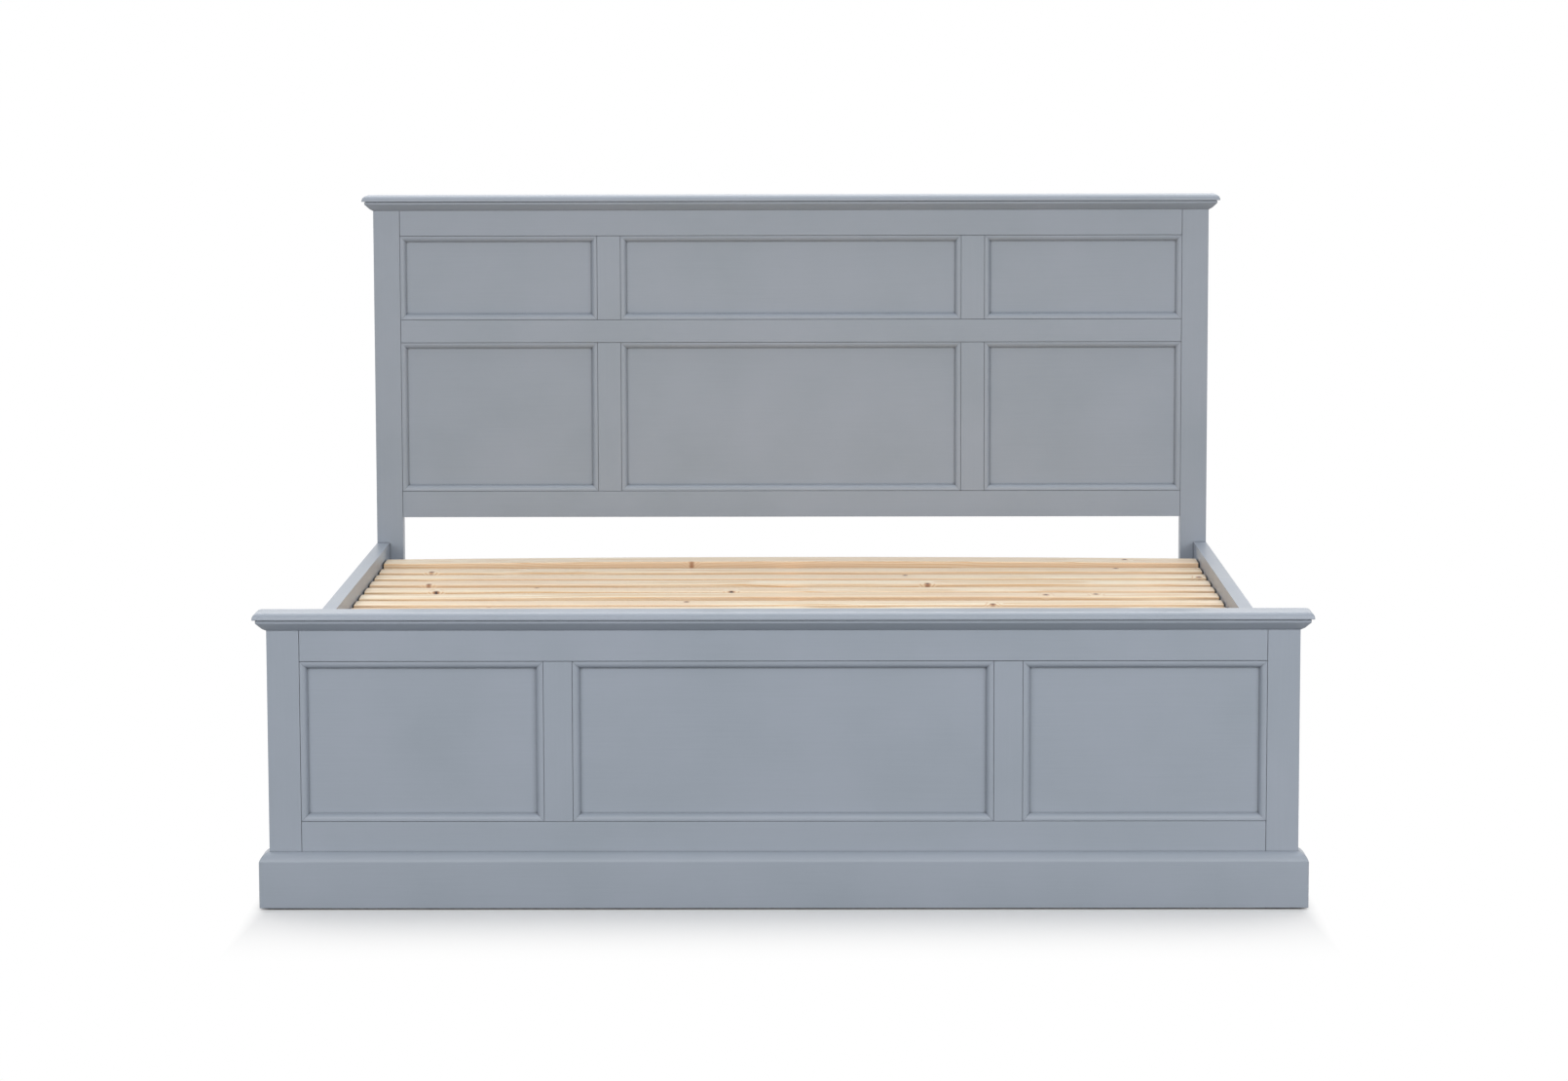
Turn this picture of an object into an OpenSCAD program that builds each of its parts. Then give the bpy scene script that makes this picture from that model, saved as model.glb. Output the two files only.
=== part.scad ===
// King-size bed frame: panelled headboard and footboard, side rails and a slatted base
// Millimetres. +X is right as seen from the foot end, +Y runs to the headboard, +Z is up
// The origin is on the floor, in the middle of the overall length and width

/* [Overall] */
// Width over the outer faces of the posts
frame_w = 1930; // [1600:10:2200]
// Clear length between the footboard and headboard posts
inner_l = 2050; // [1800:10:2200]
// Height of the headboard to the top of its cap
head_h = 1250; // [1100:5:1500]
// Height of the footboard to the top of its cap
foot_h = 562; // [540:2:700]

/* [Boards] */
// Width of a post, seen from the front
post_w = 61; // [50:1:80]
// Depth of a post
post_d = 45; // [44:1:70]
// Thickness of the rails and muntins between the posts
rail_t = 32; // [28:1:38]
// Height of the top rail of both boards, up to the cap board
top_rail_h = 80.5; // [60:0.5:100]
// Height of the middle rail of the headboard
mid_rail_h = 53; // [45:1:80]
// Height of the bottom rail of the headboard
low_rail_h = 61; // [45:1:90]
// Height of that rail's underside above the floor
head_clear = 502; // [450:1:560]
// Width of a muntin between two panels
muntin_w = 54; // [40:1:80]
// Width of a side opening
side_w = 456; // [380:2:520]
// Height of the upper openings of the headboard
upper_open_h = 194; // [150:2:240]
// Height of the bottom rail of the footboard
foot_rail_h = 118; // [80:1:140]
// Height of that rail's underside above the floor
foot_clear = 47; // [20:1:60]
// Length of a rail tenon
tenon_l = 35; // [20:1:45]
// Thickness of a rail tenon
tenon_t = 14; // [10:1:16]
// Shoulder above and below a tenon
tenon_inset = 12; // [11:0.5:16]

/* [Panels and beads] */
// Thickness of a panel
panel_t = 9; // [6:0.5:10]
// Depth of the panel face behind the front of the frame
panel_recess = 13; // [11:0.5:14]
// Depth of the groove that holds a panel
groove_d = 10; // [7:0.5:10.5]
// Width of the bead around a panel
bead_w = 13.5; // [12:0.5:20]
// Radius of the rounded inner edge of the bead
bead_r = 10; // [6:0.5:10.5]
// Depth of the bead's front behind the front of the frame
bead_set = 0.6; // [0.2:0.1:2]
// Width of the bead's foot beyond its rounded edge
bead_foot = 0.5; // [0:0.1:1]

/* [Caps and plinth] */
// Thickness of the cap board
cap_t = 13.5; // [12.5:0.5:20]
// Overhang of the cap board beyond the posts
cap_over = 24; // [21:0.5:35]
// Radius of the rounded front and end edges of the cap board
cap_r = 12; // [6:0.5:13]
// Radius of the rounded back edge of the cap board
cap_back_r = 5; // [2:0.5:10]
// Height of the cornice under the cap board
cornice_h = 22; // [16:0.5:30]
// Projection of the cornice at its upright lip
cornice_p = 18; // [14:0.5:20]
// Distance from the cap board down to the lip's lower edge
cornice_lip = 6.5; // [3:0.5:10]
// Height of the shadow line between the cap board and the lip
cornice_quirk = 1.2; // [0.6:0.2:2]
// Depth of that line
cornice_quirk_d = 3; // [1:0.5:5]
// Projection of the cornice where its slope turns in to the board
cornice_foot = 7; // [3:0.5:10]
// Height of that turn above the cornice's lower edge
cornice_turn = 4.3; // [2:0.1:6]
// Height of the top of the plinth above the floor
plinth_top = 108; // [80:1:120]
// Thickness of the plinth
plinth_t = 18; // [12:0.5:25]
// Height over which the plinth's top edge rounds off to its front
plinth_fall = 18; // [12:0.5:24]
// Radius of that shallow arc
plinth_r = 25; // [18:0.5:40]

/* [Side rails and ledges] */
// Thickness of a side rail
side_t = 29; // [22:1:34]
// Height of a side rail
side_h = 170; // [150:1:200]
// Height of the top edge of a side rail above the floor
side_top = 442; // [430:1:460]
// Height and width of the ledge that carries the slats
ledge_s = 30; // [22:1:34]
// Height of the top of the ledge above the floor
ledge_top = 390; // [385:1:400]
// Height of the cross rails at the head and foot
cross_h = 90; // [80:1:110]
// Thickness of the cross rails
cross_t = 27; // [24:1:30]
// Depth of the head cross rail behind the front of the posts
head_cross_set = 14; // [12:0.5:15]

/* [Slats] */
// Number of slats
slat_n = 17; // [17]
// Width of a slat
slat_w = 70; // [50:1:80]
// Thickness of a slat
slat_t = 18; // [14:1:22]
// Gap between a slat's end and the side rail
slat_end_gap = 4; // [3:0.5:10]
// Width of the wider slat at the head end
end_slat_w = 88; // [60:1:110]
// Thickness of the thicker slat at the head end
end_slat_t = 25; // [18:1:30]
// Distance from the footboard post to the middle of the first slat
slat_first = 118; // [80:1:150]
// Distance from the headboard post to the middle of the last slat
slat_last = 140; // [90:1:160]
// Rise of the most bowed slat at its middle
slat_bow = 5; // [1:0.5:8]
// Largest turn of a slat from square, in degrees
slat_yaw = 0.22; // [0:0.02:0.4]
// Width of a webbing strap under the slats
strap_w = 38; // [25:1:50]
// Thickness of a webbing strap
strap_t = 1.2; // [0.8:0.1:2]
// Distance from the slat end to the middle of a strap
strap_in = 135; // [80:1:200]
// Length of strap that lies level beyond each edge of a slat
strap_flat = 4; // [2:1:10]

/* [Centre support] */
// Width of the centre rail
spine_w = 32; // [28:1:45]
// Height of the centre rail
spine_h = 70; // [60:1:85]
// Width of a centre leg across the bed
leg_w = 68; // [60:1:90]
// Depth of a centre leg along the bed
leg_d = 45; // [40:1:60]
// Height of the leg's bottom above the floor
leg_clear = 30; // [29:1:34]
// Distance between the two centre legs
leg_span = 700; // [500:10:1000]
// Height of the two cheeks of a leg beside the centre rail
cheek_h = 50; // [44:1:56]
// Thickness of the steel hangers of the centre rail
hanger_t = 2.5; // [2:0.5:4]
// Length of a hanger along the centre rail
hanger_l = 40; // [30:1:60]
// Height of a hanger's cheeks beside the centre rail
hanger_h = 42; // [30:1:55]
// Width of a hanger's back plate beyond the centre rail, on each side
hanger_wing = 25; // [22:1:35]
// Distance between the two screws on one side of a hanger
hanger_pitch = 30; // [24:1:40]

/* [Hardware] */
// Diameter of the machine bolts and levelling stems
bolt_d = 8; // [6:1:10]
// Outer diameter of a threaded insert
insert_d = 12; // [11:0.5:14]
// Length of a threaded insert
insert_l = 13; // [10:1:13]
// Length of a bolt beyond its insert or nut
bolt_tail = 5; // [2:1:6]
// Depth of an insert's hole beyond the insert
insert_hole_more = 8; // [7:1:8]
// Wood left between an insert's hole and the head cross rail's tenon
cross_tenon_wall = 1.5; // [1:0.1:1.9]
// Thickness of a corner bracket
bracket_t = 3; // [2:0.5:4]
// Height of a corner bracket
bracket_h = 70; // [60:1:75]
// Length of a corner bracket along the side rail
bracket_l = 60; // [50:1:90]
// Distance between the two bolts of a corner bracket
bracket_pitch = 36; // [30:1:40]
// Distance of a corner bracket below the ledge
bracket_drop = 6; // [2:1:12]
// Margin between a corner bracket and the edge of its post
bracket_margin = 2; // [1:0.5:4]
// Distance of a screw from the edge of its steel plate
screw_edge = 12; // [8:1:14]
// Distance along the rail between the two screws of a corner bracket
screw_step = 20; // [12:1:24]
// Shank diameter of a wood screw
screw_d = 5; // [4:0.5:5.5]
// Length of a short wood screw
screw_short = 22; // [16:1:24]
// Length of a long wood screw
screw_long = 50; // [40:1:54]
// Width of the cross slot in a screw's head
screw_slot_w = 1; // [0.6:0.1:1.2]
// Depth of the cross slot
screw_slot_d = 1.4; // [0.8:0.1:1.8]
// Number of screws in one ledge
ledge_screw_n = 7; // [5:1:9]
// Distance of the first ledge screw from the ledge's end
ledge_screw_in = 80; // [40:5:120]
// Gap between a ledge's end and the post
ledge_gap = 5; // [2:1:10]
// Distance of the cross rail's screws from its edges
cross_screw_in = 22; // [15:1:30]
// Diameter of a floor glide
glide_d = 28; // [20:1:34]
// Thickness of a floor glide
glide_t = 3; // [2:0.5:6]
// Diameter of a glide's pin
glide_pin_d = 4; // [3:0.5:6]
// Length of a glide's pin
glide_pin_l = 14; // [8:1:20]
// Diameter of a levelling pad
pad_d = 40; // [30:1:44]
// Height of a levelling pad's disc
pad_t = 6; // [4:0.5:7]
// Height of the hub on a levelling pad
hub_h = 6; // [4:0.5:7]
// Depth of the socket that holds the stem
socket_h = 4; // [2:0.5:6]
// Height of the hexagon on a levelling stem
nut_h = 5; // [4:0.5:6]
// Length of a levelling stem
stem_l = 62; // [50:1:70]
// Height of the free bore above a levelling stem
stem_room = 16; // [12:1:20]
// Radial clearance of that bore
stem_bore_gap = 0.5; // [0.3:0.1:1]
// Chamfer at the lower edge of a levelling pad
pad_chamfer = 1.5; // [0.5:0.5:2]
// Fall of the pad's top from the hub to the rim
pad_fall = 2; // [0.5:0.5:2]

/* [Clearances] */
// Clearance around a tenon or a panel in its groove
joint_gap = 0.1; // [0.05:0.01:0.2]
// Space left at the bottom of a mortise or groove
bottom_gap = 0.8; // [0.3:0.1:0.9]
// Half the width of the glue line in a mitre
mitre_gap = 0.15; // [0.1:0.01:0.3]
// Radial clearance of bolts, screws and stems
bore_gap = 0.05; // [0.02:0.01:0.1]
// Height of a resting slat above its ledge
rest_gap = 0.3; // [0.2:0.05:0.5]

/* [Hidden] */
$fn = 64;
half_w = frame_w / 2;
total_l = cap_over + post_d + inner_l + post_d;
foot_y = cap_over - total_l / 2;
head_y = total_l / 2 - post_d;
mid_y = (foot_y + post_d + head_y) / 2;
centre_w = frame_w - 2 * post_w - 2 * side_w - 2 * muntin_w;
open_w = [side_w, centre_w, side_w];
open_x = [-half_w + post_w, -centre_w / 2, half_w - post_w - side_w];
muntin_x = centre_w / 2 + muntin_w / 2;
head_rail_top = head_h - cap_t;
upper_open_z = head_rail_top - top_rail_h - upper_open_h;
lower_open_z = head_clear + low_rail_h;
lower_open_h = upper_open_z - mid_rail_h - lower_open_z;
foot_rail_top = foot_h - cap_t;
foot_open_z = foot_clear + foot_rail_h;
foot_open_h = foot_rail_top - top_rail_h - foot_open_z;
tenon_y = panel_recess + panel_t / 2 - tenon_t / 2;
groove_fill = groove_d - bottom_gap;
board_w = frame_w - 2 * post_w;
side_in = half_w - side_t;
cross_z = ledge_top - cross_h;
slat_half = side_in - slat_end_gap;
slat_pitch = (inner_l - slat_first - slat_last) / (slat_n - 1);
slat_z = ledge_top + rest_gap;
slat_steps = 24;
// Length by which a cutting body passes beyond the face that it cuts
cut = 1;
strap_x = slat_half - strap_in;
spine_z = ledge_top - spine_h;
foot_cross_y = foot_y + rail_t;
spine_y0 = foot_cross_y + cross_t + hanger_t;
spine_y1 = head_y + head_cross_set - hanger_t;
leg_ys = [mid_y - leg_span / 2, mid_y + leg_span / 2];
leg_bolt_z = spine_z + cheek_h / 2;
bolt_head_d = 1.6 * bolt_d;
bolt_head_h = 0.6 * bolt_d;
bolt_l = insert_l + bolt_tail;
insert_hole_l = insert_l + insert_hole_more;
cross_tenon_y = insert_hole_l + cross_tenon_wall;
screw_head_d = 2 * screw_d;
screw_head_h = screw_d / 2;
bracket_leg = post_w - side_t - bracket_margin;
bracket_z = ledge_top - ledge_s - bracket_drop - bracket_h;
bracket_bolt_x = side_in - bracket_leg / 2;
bracket_zs = [bracket_z + (bracket_h - bracket_pitch) / 2, bracket_z + (bracket_h + bracket_pitch) / 2];
bracket_screw_ys = [bracket_l - screw_edge, bracket_l - screw_edge - screw_step];
ledge_l = inner_l - 2 * ledge_gap;
ledge_screw_pitch = (ledge_l - 2 * ledge_screw_in) / (ledge_screw_n - 1);
cross_screw_zs = [cross_z + cross_screw_in, cross_z + cross_h - cross_screw_in];
hanger_back = spine_w + 2 * hanger_wing;
hanger_screw_x = spine_w / 2 + hanger_wing - screw_edge;
hanger_screw_zs = [spine_z + screw_edge, spine_z + screw_edge + hanger_pitch];
hub_d = 2.2 * bolt_d;
stem_z = pad_t + hub_h - socket_h;
paint = [0.61, 0.635, 0.675];
pine = [0.93, 0.83, 0.66];
steel = [0.72, 0.73, 0.75];
nylon = [0.16, 0.16, 0.17];
webbing = [0.9, 0.89, 0.86];

function slat_y(i) = foot_y + post_d + slat_first + i * slat_pitch;
function is_end(i) = i == slat_n - 1;
// The slat next to the headboard is the most bowed; every second one is straight
function bow(i) = is_end(i) ? slat_bow : i % 2 == 0 ? 0 : slat_bow * (0.4 + 0.2 * sin(137 * i));
function yaw(i) = slat_yaw * sin(100 * i + 40);
function width(i) = is_end(i) ? end_slat_w : slat_w;
function thickness(i) = is_end(i) ? end_slat_t : slat_t;
function slat_rise(i, x) = bow(i) * (1 - pow(x / slat_half, 2));
function ledge_screw_y(i) = -ledge_l / 2 + ledge_screw_in + i * ledge_screw_pitch;

// A box from one corner, by its lower corner and size
module block(x, y, z, w, d, h) {
    translate([x, y, z]) cube([w, d, h]);
}

// A bar of the given diameter along one axis, starting at the current origin
module rod_x(d, l) {
    rotate([0, 90, 0]) cylinder(d = d, h = l);
}

module rod_y(d, l) {
    rotate([-90, 0, 0]) cylinder(d = d, h = l);
}

module at_foot() {
    translate([0, foot_y, 0]) children();
}

module at_head() {
    translate([0, head_y, 0]) children();
}

// The four inside corners where a side rail meets a post, drawn for the right head corner
module at_corners() {
    for (sx = [0, 1])
        for (sy = [0, 1])
            translate([0, mid_y, 0]) mirror([sx, 0, 0]) mirror([0, sy, 0])
                translate([0, inner_l / 2, 0]) children();
}

// Both sides of the bed, drawn for the right side
module at_sides() {
    for (sx = [0, 1]) mirror([sx, 0, 0]) children();
}

// Boards: frame members with tenons, grooves and floating panels

// Space of the grooves around a row of openings, cut from posts and rails alike
module groove_ring(z, h) {
    block(-board_w / 2 - groove_d, panel_recess - joint_gap, z - groove_d,
        board_w + 2 * groove_d, panel_t + 2 * joint_gap, h + 2 * groove_d);
}

// A rail between the posts with a tenon on each end
module tenoned_rail(z, h, t, y_tenon) {
    block(-board_w / 2, 0, z, board_w, t, h);
    block(-board_w / 2 - tenon_l, y_tenon, z + tenon_inset,
        board_w + 2 * tenon_l, tenon_t, h - 2 * tenon_inset);
}

// Mortise in a right-hand post for such a tenon
module mortise(z, h, y_tenon) {
    block(board_w / 2 - cut, y_tenon - joint_gap, z + tenon_inset - joint_gap,
        tenon_l + bottom_gap + cut, tenon_t + 2 * joint_gap, h - 2 * tenon_inset + 2 * joint_gap);
}

module glide_pin_hole() {
    translate([half_w - post_w / 2, post_d / 2, 0])
        cylinder(d = glide_pin_d + 2 * bore_gap, h = glide_t + glide_pin_l + bottom_gap);
}

// Holes for the two threaded inserts of a corner bracket, entering a post along -Y
module insert_holes(y) {
    for (z = bracket_zs)
        translate([bracket_bolt_x, y, z]) rotate([90, 0, 0])
            cylinder(d = insert_d + 2 * bore_gap, h = insert_hole_l);
}

module head_post() {
    difference() {
        block(half_w - post_w, 0, glide_t, post_w, post_d, head_rail_top - glide_t);
        mortise(head_rail_top - top_rail_h, top_rail_h, tenon_y);
        mortise(upper_open_z - mid_rail_h, mid_rail_h, tenon_y);
        mortise(head_clear, low_rail_h, tenon_y);
        mortise(cross_z, cross_h, cross_tenon_y);
        groove_ring(upper_open_z, upper_open_h);
        groove_ring(lower_open_z, lower_open_h);
        glide_pin_hole();
        mirror([0, 1, 0]) insert_holes(0);
    }
}

module foot_post() {
    difference() {
        block(half_w - post_w, 0, glide_t, post_w, post_d, foot_rail_top - glide_t);
        mortise(foot_rail_top - top_rail_h, top_rail_h, tenon_y);
        mortise(foot_clear, foot_rail_h, tenon_y);
        groove_ring(foot_open_z, foot_open_h);
        glide_pin_hole();
        insert_holes(post_d);
    }
}

module head_post_left() {
    color(paint) at_head() mirror([1, 0, 0]) head_post();
}

module head_post_right() {
    color(paint) at_head() head_post();
}

module foot_post_left() {
    color(paint) at_foot() mirror([1, 0, 0]) foot_post();
}

module foot_post_right() {
    color(paint) at_foot() foot_post();
}

module head_top_rail() {
    color(paint) at_head() difference() {
        tenoned_rail(head_rail_top - top_rail_h, top_rail_h, rail_t, tenon_y);
        groove_ring(upper_open_z, upper_open_h);
    }
}

module head_mid_rail() {
    color(paint) at_head() difference() {
        tenoned_rail(upper_open_z - mid_rail_h, mid_rail_h, rail_t, tenon_y);
        groove_ring(upper_open_z, upper_open_h);
        groove_ring(lower_open_z, lower_open_h);
    }
}

module head_bottom_rail() {
    color(paint) at_head() difference() {
        tenoned_rail(head_clear, low_rail_h, rail_t, tenon_y);
        groove_ring(lower_open_z, lower_open_h);
    }
}

module foot_top_rail() {
    color(paint) at_foot() difference() {
        tenoned_rail(foot_rail_top - top_rail_h, top_rail_h, rail_t, tenon_y);
        groove_ring(foot_open_z, foot_open_h);
    }
}

module foot_bottom_rail() {
    color(paint) at_foot() difference() {
        tenoned_rail(foot_clear, foot_rail_h, rail_t, tenon_y);
        groove_ring(foot_open_z, foot_open_h);
    }
}

// A muntin between two rails, grooved on both edges, with a stub tenon at each end
module muntin(z, h) {
    core_w = muntin_w - 2 * groove_d;
    difference() {
        block(-muntin_w / 2, 0, z, muntin_w, rail_t, h);
        for (s = [-1, 1])
            translate([s * muntin_w / 2, 0, 0])
                block(-groove_d, panel_recess - joint_gap, z - cut,
                    2 * groove_d, panel_t + 2 * joint_gap, h + 2 * cut);
    }
    block(-core_w / 2, panel_recess, z - groove_fill, core_w, panel_t, h + 2 * groove_fill);
}

module muntin_pair(z, h) {
    for (s = [-1, 1]) translate([s * muntin_x, 0, 0]) muntin(z, h);
}

module head_upper_muntins() {
    color(paint) at_head() muntin_pair(upper_open_z, upper_open_h);
}

module head_lower_muntins() {
    color(paint) at_head() muntin_pair(lower_open_z, lower_open_h);
}

// The screws of the foot cross rail enter the muntins of the footboard from behind
module foot_muntins() {
    color(paint) at_foot() difference() {
        muntin_pair(foot_open_z, foot_open_h);
        for (s = [-1, 1])
            for (z = cross_screw_zs)
                translate([s * muntin_x, rail_t, z]) rotate([90, 0, 0])
                    cylinder(d = screw_d + 2 * bore_gap, h = screw_long - cross_t + bottom_gap);
    }
}

// The three panels of a row, floating in the grooves
module panel_row(z, h) {
    for (i = [0 : 2])
        block(open_x[i] - groove_fill, panel_recess, z - groove_fill,
            open_w[i] + 2 * groove_fill, panel_t, h + 2 * groove_fill);
}

module head_upper_panels() {
    color(paint) at_head() panel_row(upper_open_z, upper_open_h);
}

module head_lower_panels() {
    color(paint) at_head() panel_row(lower_open_z, lower_open_h);
}

module foot_panels() {
    color(paint) at_foot() panel_row(foot_open_z, foot_open_h);
}

// Section of the bead: across the opening from its edge, and back from the front
module bead_section() {
    round_x = bead_w - bead_r - bead_foot;
    translate([0, bead_set]) square([round_x, panel_recess - bead_set]);
    translate([round_x, bead_set + bead_r]) circle(r = bead_r);
    translate([0, bead_set + bead_r]) square([bead_w, panel_recess - bead_set - bead_r]);
}

// A bead along the bottom edge of an opening, mitred at both ends
module bead_strip(l) {
    intersection() {
        rotate([0, 90, 0]) rotate([0, 0, 90]) linear_extrude(l) mirror([1, 0]) rotate(90) bead_section();
        translate([0, panel_recess, 0]) rotate([90, 0, 0]) linear_extrude(panel_recess)
            polygon([[mitre_gap, 0], [l - mitre_gap, 0],
                [l - bead_w - mitre_gap, bead_w], [bead_w + mitre_gap, bead_w]]);
    }
}

// Four mitred beads around an opening
module bead_frame(w, h) {
    bead_strip(w);
    translate([w, 0, h]) rotate([0, 180, 0]) bead_strip(w);
    translate([0, 0, h]) rotate([0, 90, 0]) bead_strip(h);
    translate([w, 0, 0]) rotate([0, -90, 0]) bead_strip(h);
}

module bead_row(z, h) {
    for (i = [0 : 2])
        translate([open_x[i] + joint_gap, 0, z + joint_gap])
            bead_frame(open_w[i] - 2 * joint_gap, h - 2 * joint_gap);
}

module head_upper_beads() {
    color(paint) at_head() bead_row(upper_open_z, upper_open_h);
}

module head_lower_beads() {
    color(paint) at_head() bead_row(lower_open_z, lower_open_h);
}

module foot_beads() {
    color(paint) at_foot() bead_row(foot_open_z, foot_open_h);
}

// Caps, cornices and plinth

// A square corner less its quarter circle, to round the upper left corner of a section
module corner_waste(r) {
    difference() {
        translate([-cut, 0]) square([r + cut, r + cut]);
        translate([r, 0]) circle(r = r);
    }
}

// Section of the cap board along the bed
module cap_section() {
    difference() {
        translate([-cap_over, 0]) square([cap_over + post_d, cap_t]);
        translate([-cap_over, cap_t - cap_r]) corner_waste(cap_r);
        translate([post_d, cap_t - cap_back_r]) mirror([1, 0]) corner_waste(cap_back_r);
    }
}

// Section of the cap board across the bed, rounded at both ends
module cap_side_section() {
    reach = half_w + cap_over;
    difference() {
        translate([-reach, 0]) square([2 * reach, cap_t]);
        for (s = [0, 1])
            mirror([s, 0]) translate([-reach, cap_t - cap_r]) corner_waste(cap_r);
    }
}

// The two sections meet in a mitred corner
module cap_board() {
    intersection() {
        translate([-half_w - cap_over, 0, 0]) rotate([90, 0, 90])
            linear_extrude(frame_w + 2 * cap_over) cap_section();
        translate([0, post_d, 0]) rotate([90, 0, 0])
            linear_extrude(cap_over + post_d) cap_side_section();
    }
}

module head_cap_board() {
    color(paint) at_head() translate([0, 0, head_h - cap_t]) cap_board();
}

module foot_cap_board() {
    color(paint) at_foot() translate([0, 0, foot_h - cap_t]) cap_board();
}

// Section of the cornice: a shadow line, an upright lip, a slope and a flatter turn to the board
module cornice_section() {
    quirk_x = cornice_quirk_d - cornice_p;
    quirk_z = cornice_h - cornice_quirk;
    polygon([[0, 0], [0, cornice_h], [quirk_x, cornice_h], [quirk_x, quirk_z], [-cornice_p, quirk_z],
        [-cornice_p, cornice_h - cornice_lip], [-cornice_foot, cornice_turn]]);
}

// Section of the plinth, with a shallow arc from its front up to the face of the board
module plinth_section() {
    top = plinth_top - glide_t;
    chord = norm([plinth_t, plinth_fall]);
    inset = sqrt(pow(plinth_r, 2) - pow(chord / 2, 2));
    difference() {
        translate([-plinth_t, 0]) square([plinth_t, top]);
        difference() {
            translate([-plinth_t - cut, top - plinth_fall]) square([plinth_t + cut, plinth_fall + cut]);
            translate([-plinth_t / 2, top - plinth_fall / 2])
                translate([plinth_fall, -plinth_t] * inset / chord) circle(r = plinth_r);
        }
    }
}

// A moulding across the front of the posts, mitred at both ends; p is its projection
module front_moulding(p) {
    intersection() {
        translate([-half_w - p, 0, 0]) rotate([90, 0, 90]) linear_extrude(frame_w + 2 * p) children();
        linear_extrude(plinth_top)
            polygon([[-half_w - p + mitre_gap, -p], [half_w + p - mitre_gap, -p],
                [half_w - mitre_gap, 0], [-half_w + mitre_gap, 0]]);
    }
}

// Its return along the outer side of the right-hand post
module side_moulding(p) {
    intersection() {
        translate([half_w, post_d, 0]) rotate([90, 0, 0]) linear_extrude(post_d + p)
            mirror([1, 0]) children();
        linear_extrude(plinth_top)
            polygon([[half_w, mitre_gap], [half_w + p, mitre_gap - p],
                [half_w + p, post_d], [half_w, post_d]]);
    }
}

module cornice() {
    front_moulding(cornice_p) cornice_section();
    at_sides() side_moulding(cornice_p) cornice_section();
}

module head_cornice() {
    color(paint) at_head() translate([0, 0, head_rail_top - cornice_h]) cornice();
}

module foot_cornice() {
    color(paint) at_foot() translate([0, 0, foot_rail_top - cornice_h]) cornice();
}

module foot_plinth() {
    color(paint) at_foot() translate([0, 0, glide_t]) {
        front_moulding(plinth_t) plinth_section();
        at_sides() side_moulding(plinth_t) plinth_section();
    }
}

// Side rails, ledges and cross rails

module screw_hole_x(l) {
    rod_x(screw_d + 2 * bore_gap, l);
}

// Places of the ledge screws, on the right side
module at_ledge_screws() {
    for (i = [0 : ledge_screw_n - 1])
        translate([side_in - ledge_s, mid_y + ledge_screw_y(i), ledge_top - ledge_s / 2]) children();
}

// Places of the bracket screws, on the inner face of the right side rail at both ends
module at_bracket_screws() {
    for (sy = [0, 1])
        translate([0, mid_y, 0]) mirror([0, sy, 0])
            for (i = [0, 1])
                translate([side_in - bracket_t, inner_l / 2 - bracket_screw_ys[i], bracket_zs[i]]) children();
}

module side_rail() {
    difference() {
        block(side_in, foot_y + post_d, side_top - side_h, side_t, inner_l, side_h);
        at_ledge_screws() screw_hole_x(screw_long + bottom_gap);
        at_bracket_screws() screw_hole_x(screw_short + bottom_gap);
    }
}

module side_rail_left() {
    color(paint) mirror([1, 0, 0]) side_rail();
}

module side_rail_right() {
    color(paint) side_rail();
}

// Clearance for a countersunk head and its shank, along +X
module sunk_hole_x(l) {
    screw_hole_x(l);
    rotate([0, 90, 0])
        cylinder(d1 = screw_head_d + 2 * bore_gap, d2 = screw_d + 2 * bore_gap, h = screw_head_h);
}

module side_ledges() {
    color(paint) at_sides() difference() {
        block(side_in - ledge_s, mid_y - ledge_l / 2, ledge_top - ledge_s, ledge_s, ledge_l, ledge_s);
        at_ledge_screws() sunk_hole_x(ledge_s + cut);
    }
}

// Places of the hanger screws on a cross rail, entering it along +Y
module at_hanger_screws() {
    for (s = [-1, 1])
        for (z = hanger_screw_zs)
            translate([s * hanger_screw_x, 0, z]) children();
}

module screw_hole_y(l) {
    rod_y(screw_d + 2 * bore_gap, l);
}

module head_cross_rail() {
    color(paint) at_head() translate([0, head_cross_set, 0]) difference() {
        tenoned_rail(cross_z, cross_h, cross_t, cross_tenon_y - head_cross_set);
        at_hanger_screws() screw_hole_y(screw_short - hanger_t + bottom_gap);
    }
}

// Places of the screws that hold the foot cross rail to the muntins, entering along -Y
module at_cross_screws() {
    for (s = [-1, 1])
        for (z = cross_screw_zs)
            translate([s * muntin_x, foot_cross_y + cross_t, z]) children();
}

module foot_cross_rail() {
    color(paint) difference() {
        block(-board_w / 2 + joint_gap, foot_cross_y, cross_z, board_w - 2 * joint_gap, cross_t, cross_h);
        at_cross_screws() rotate([0, 0, -90]) sunk_hole_x(cross_t + cut);
        translate([0, foot_cross_y + cross_t, 0]) mirror([0, 1, 0])
            at_hanger_screws() screw_hole_y(screw_short - hanger_t + bottom_gap);
    }
}

// Centre support

module centre_rail() {
    color(pine) difference() {
        block(-spine_w / 2, spine_y0, spine_z, spine_w, spine_y1 - spine_y0, spine_h);
        for (y = leg_ys)
            translate([-spine_w, y, leg_bolt_z]) rod_x(bolt_d + 2 * bore_gap, 2 * spine_w);
    }
}

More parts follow.
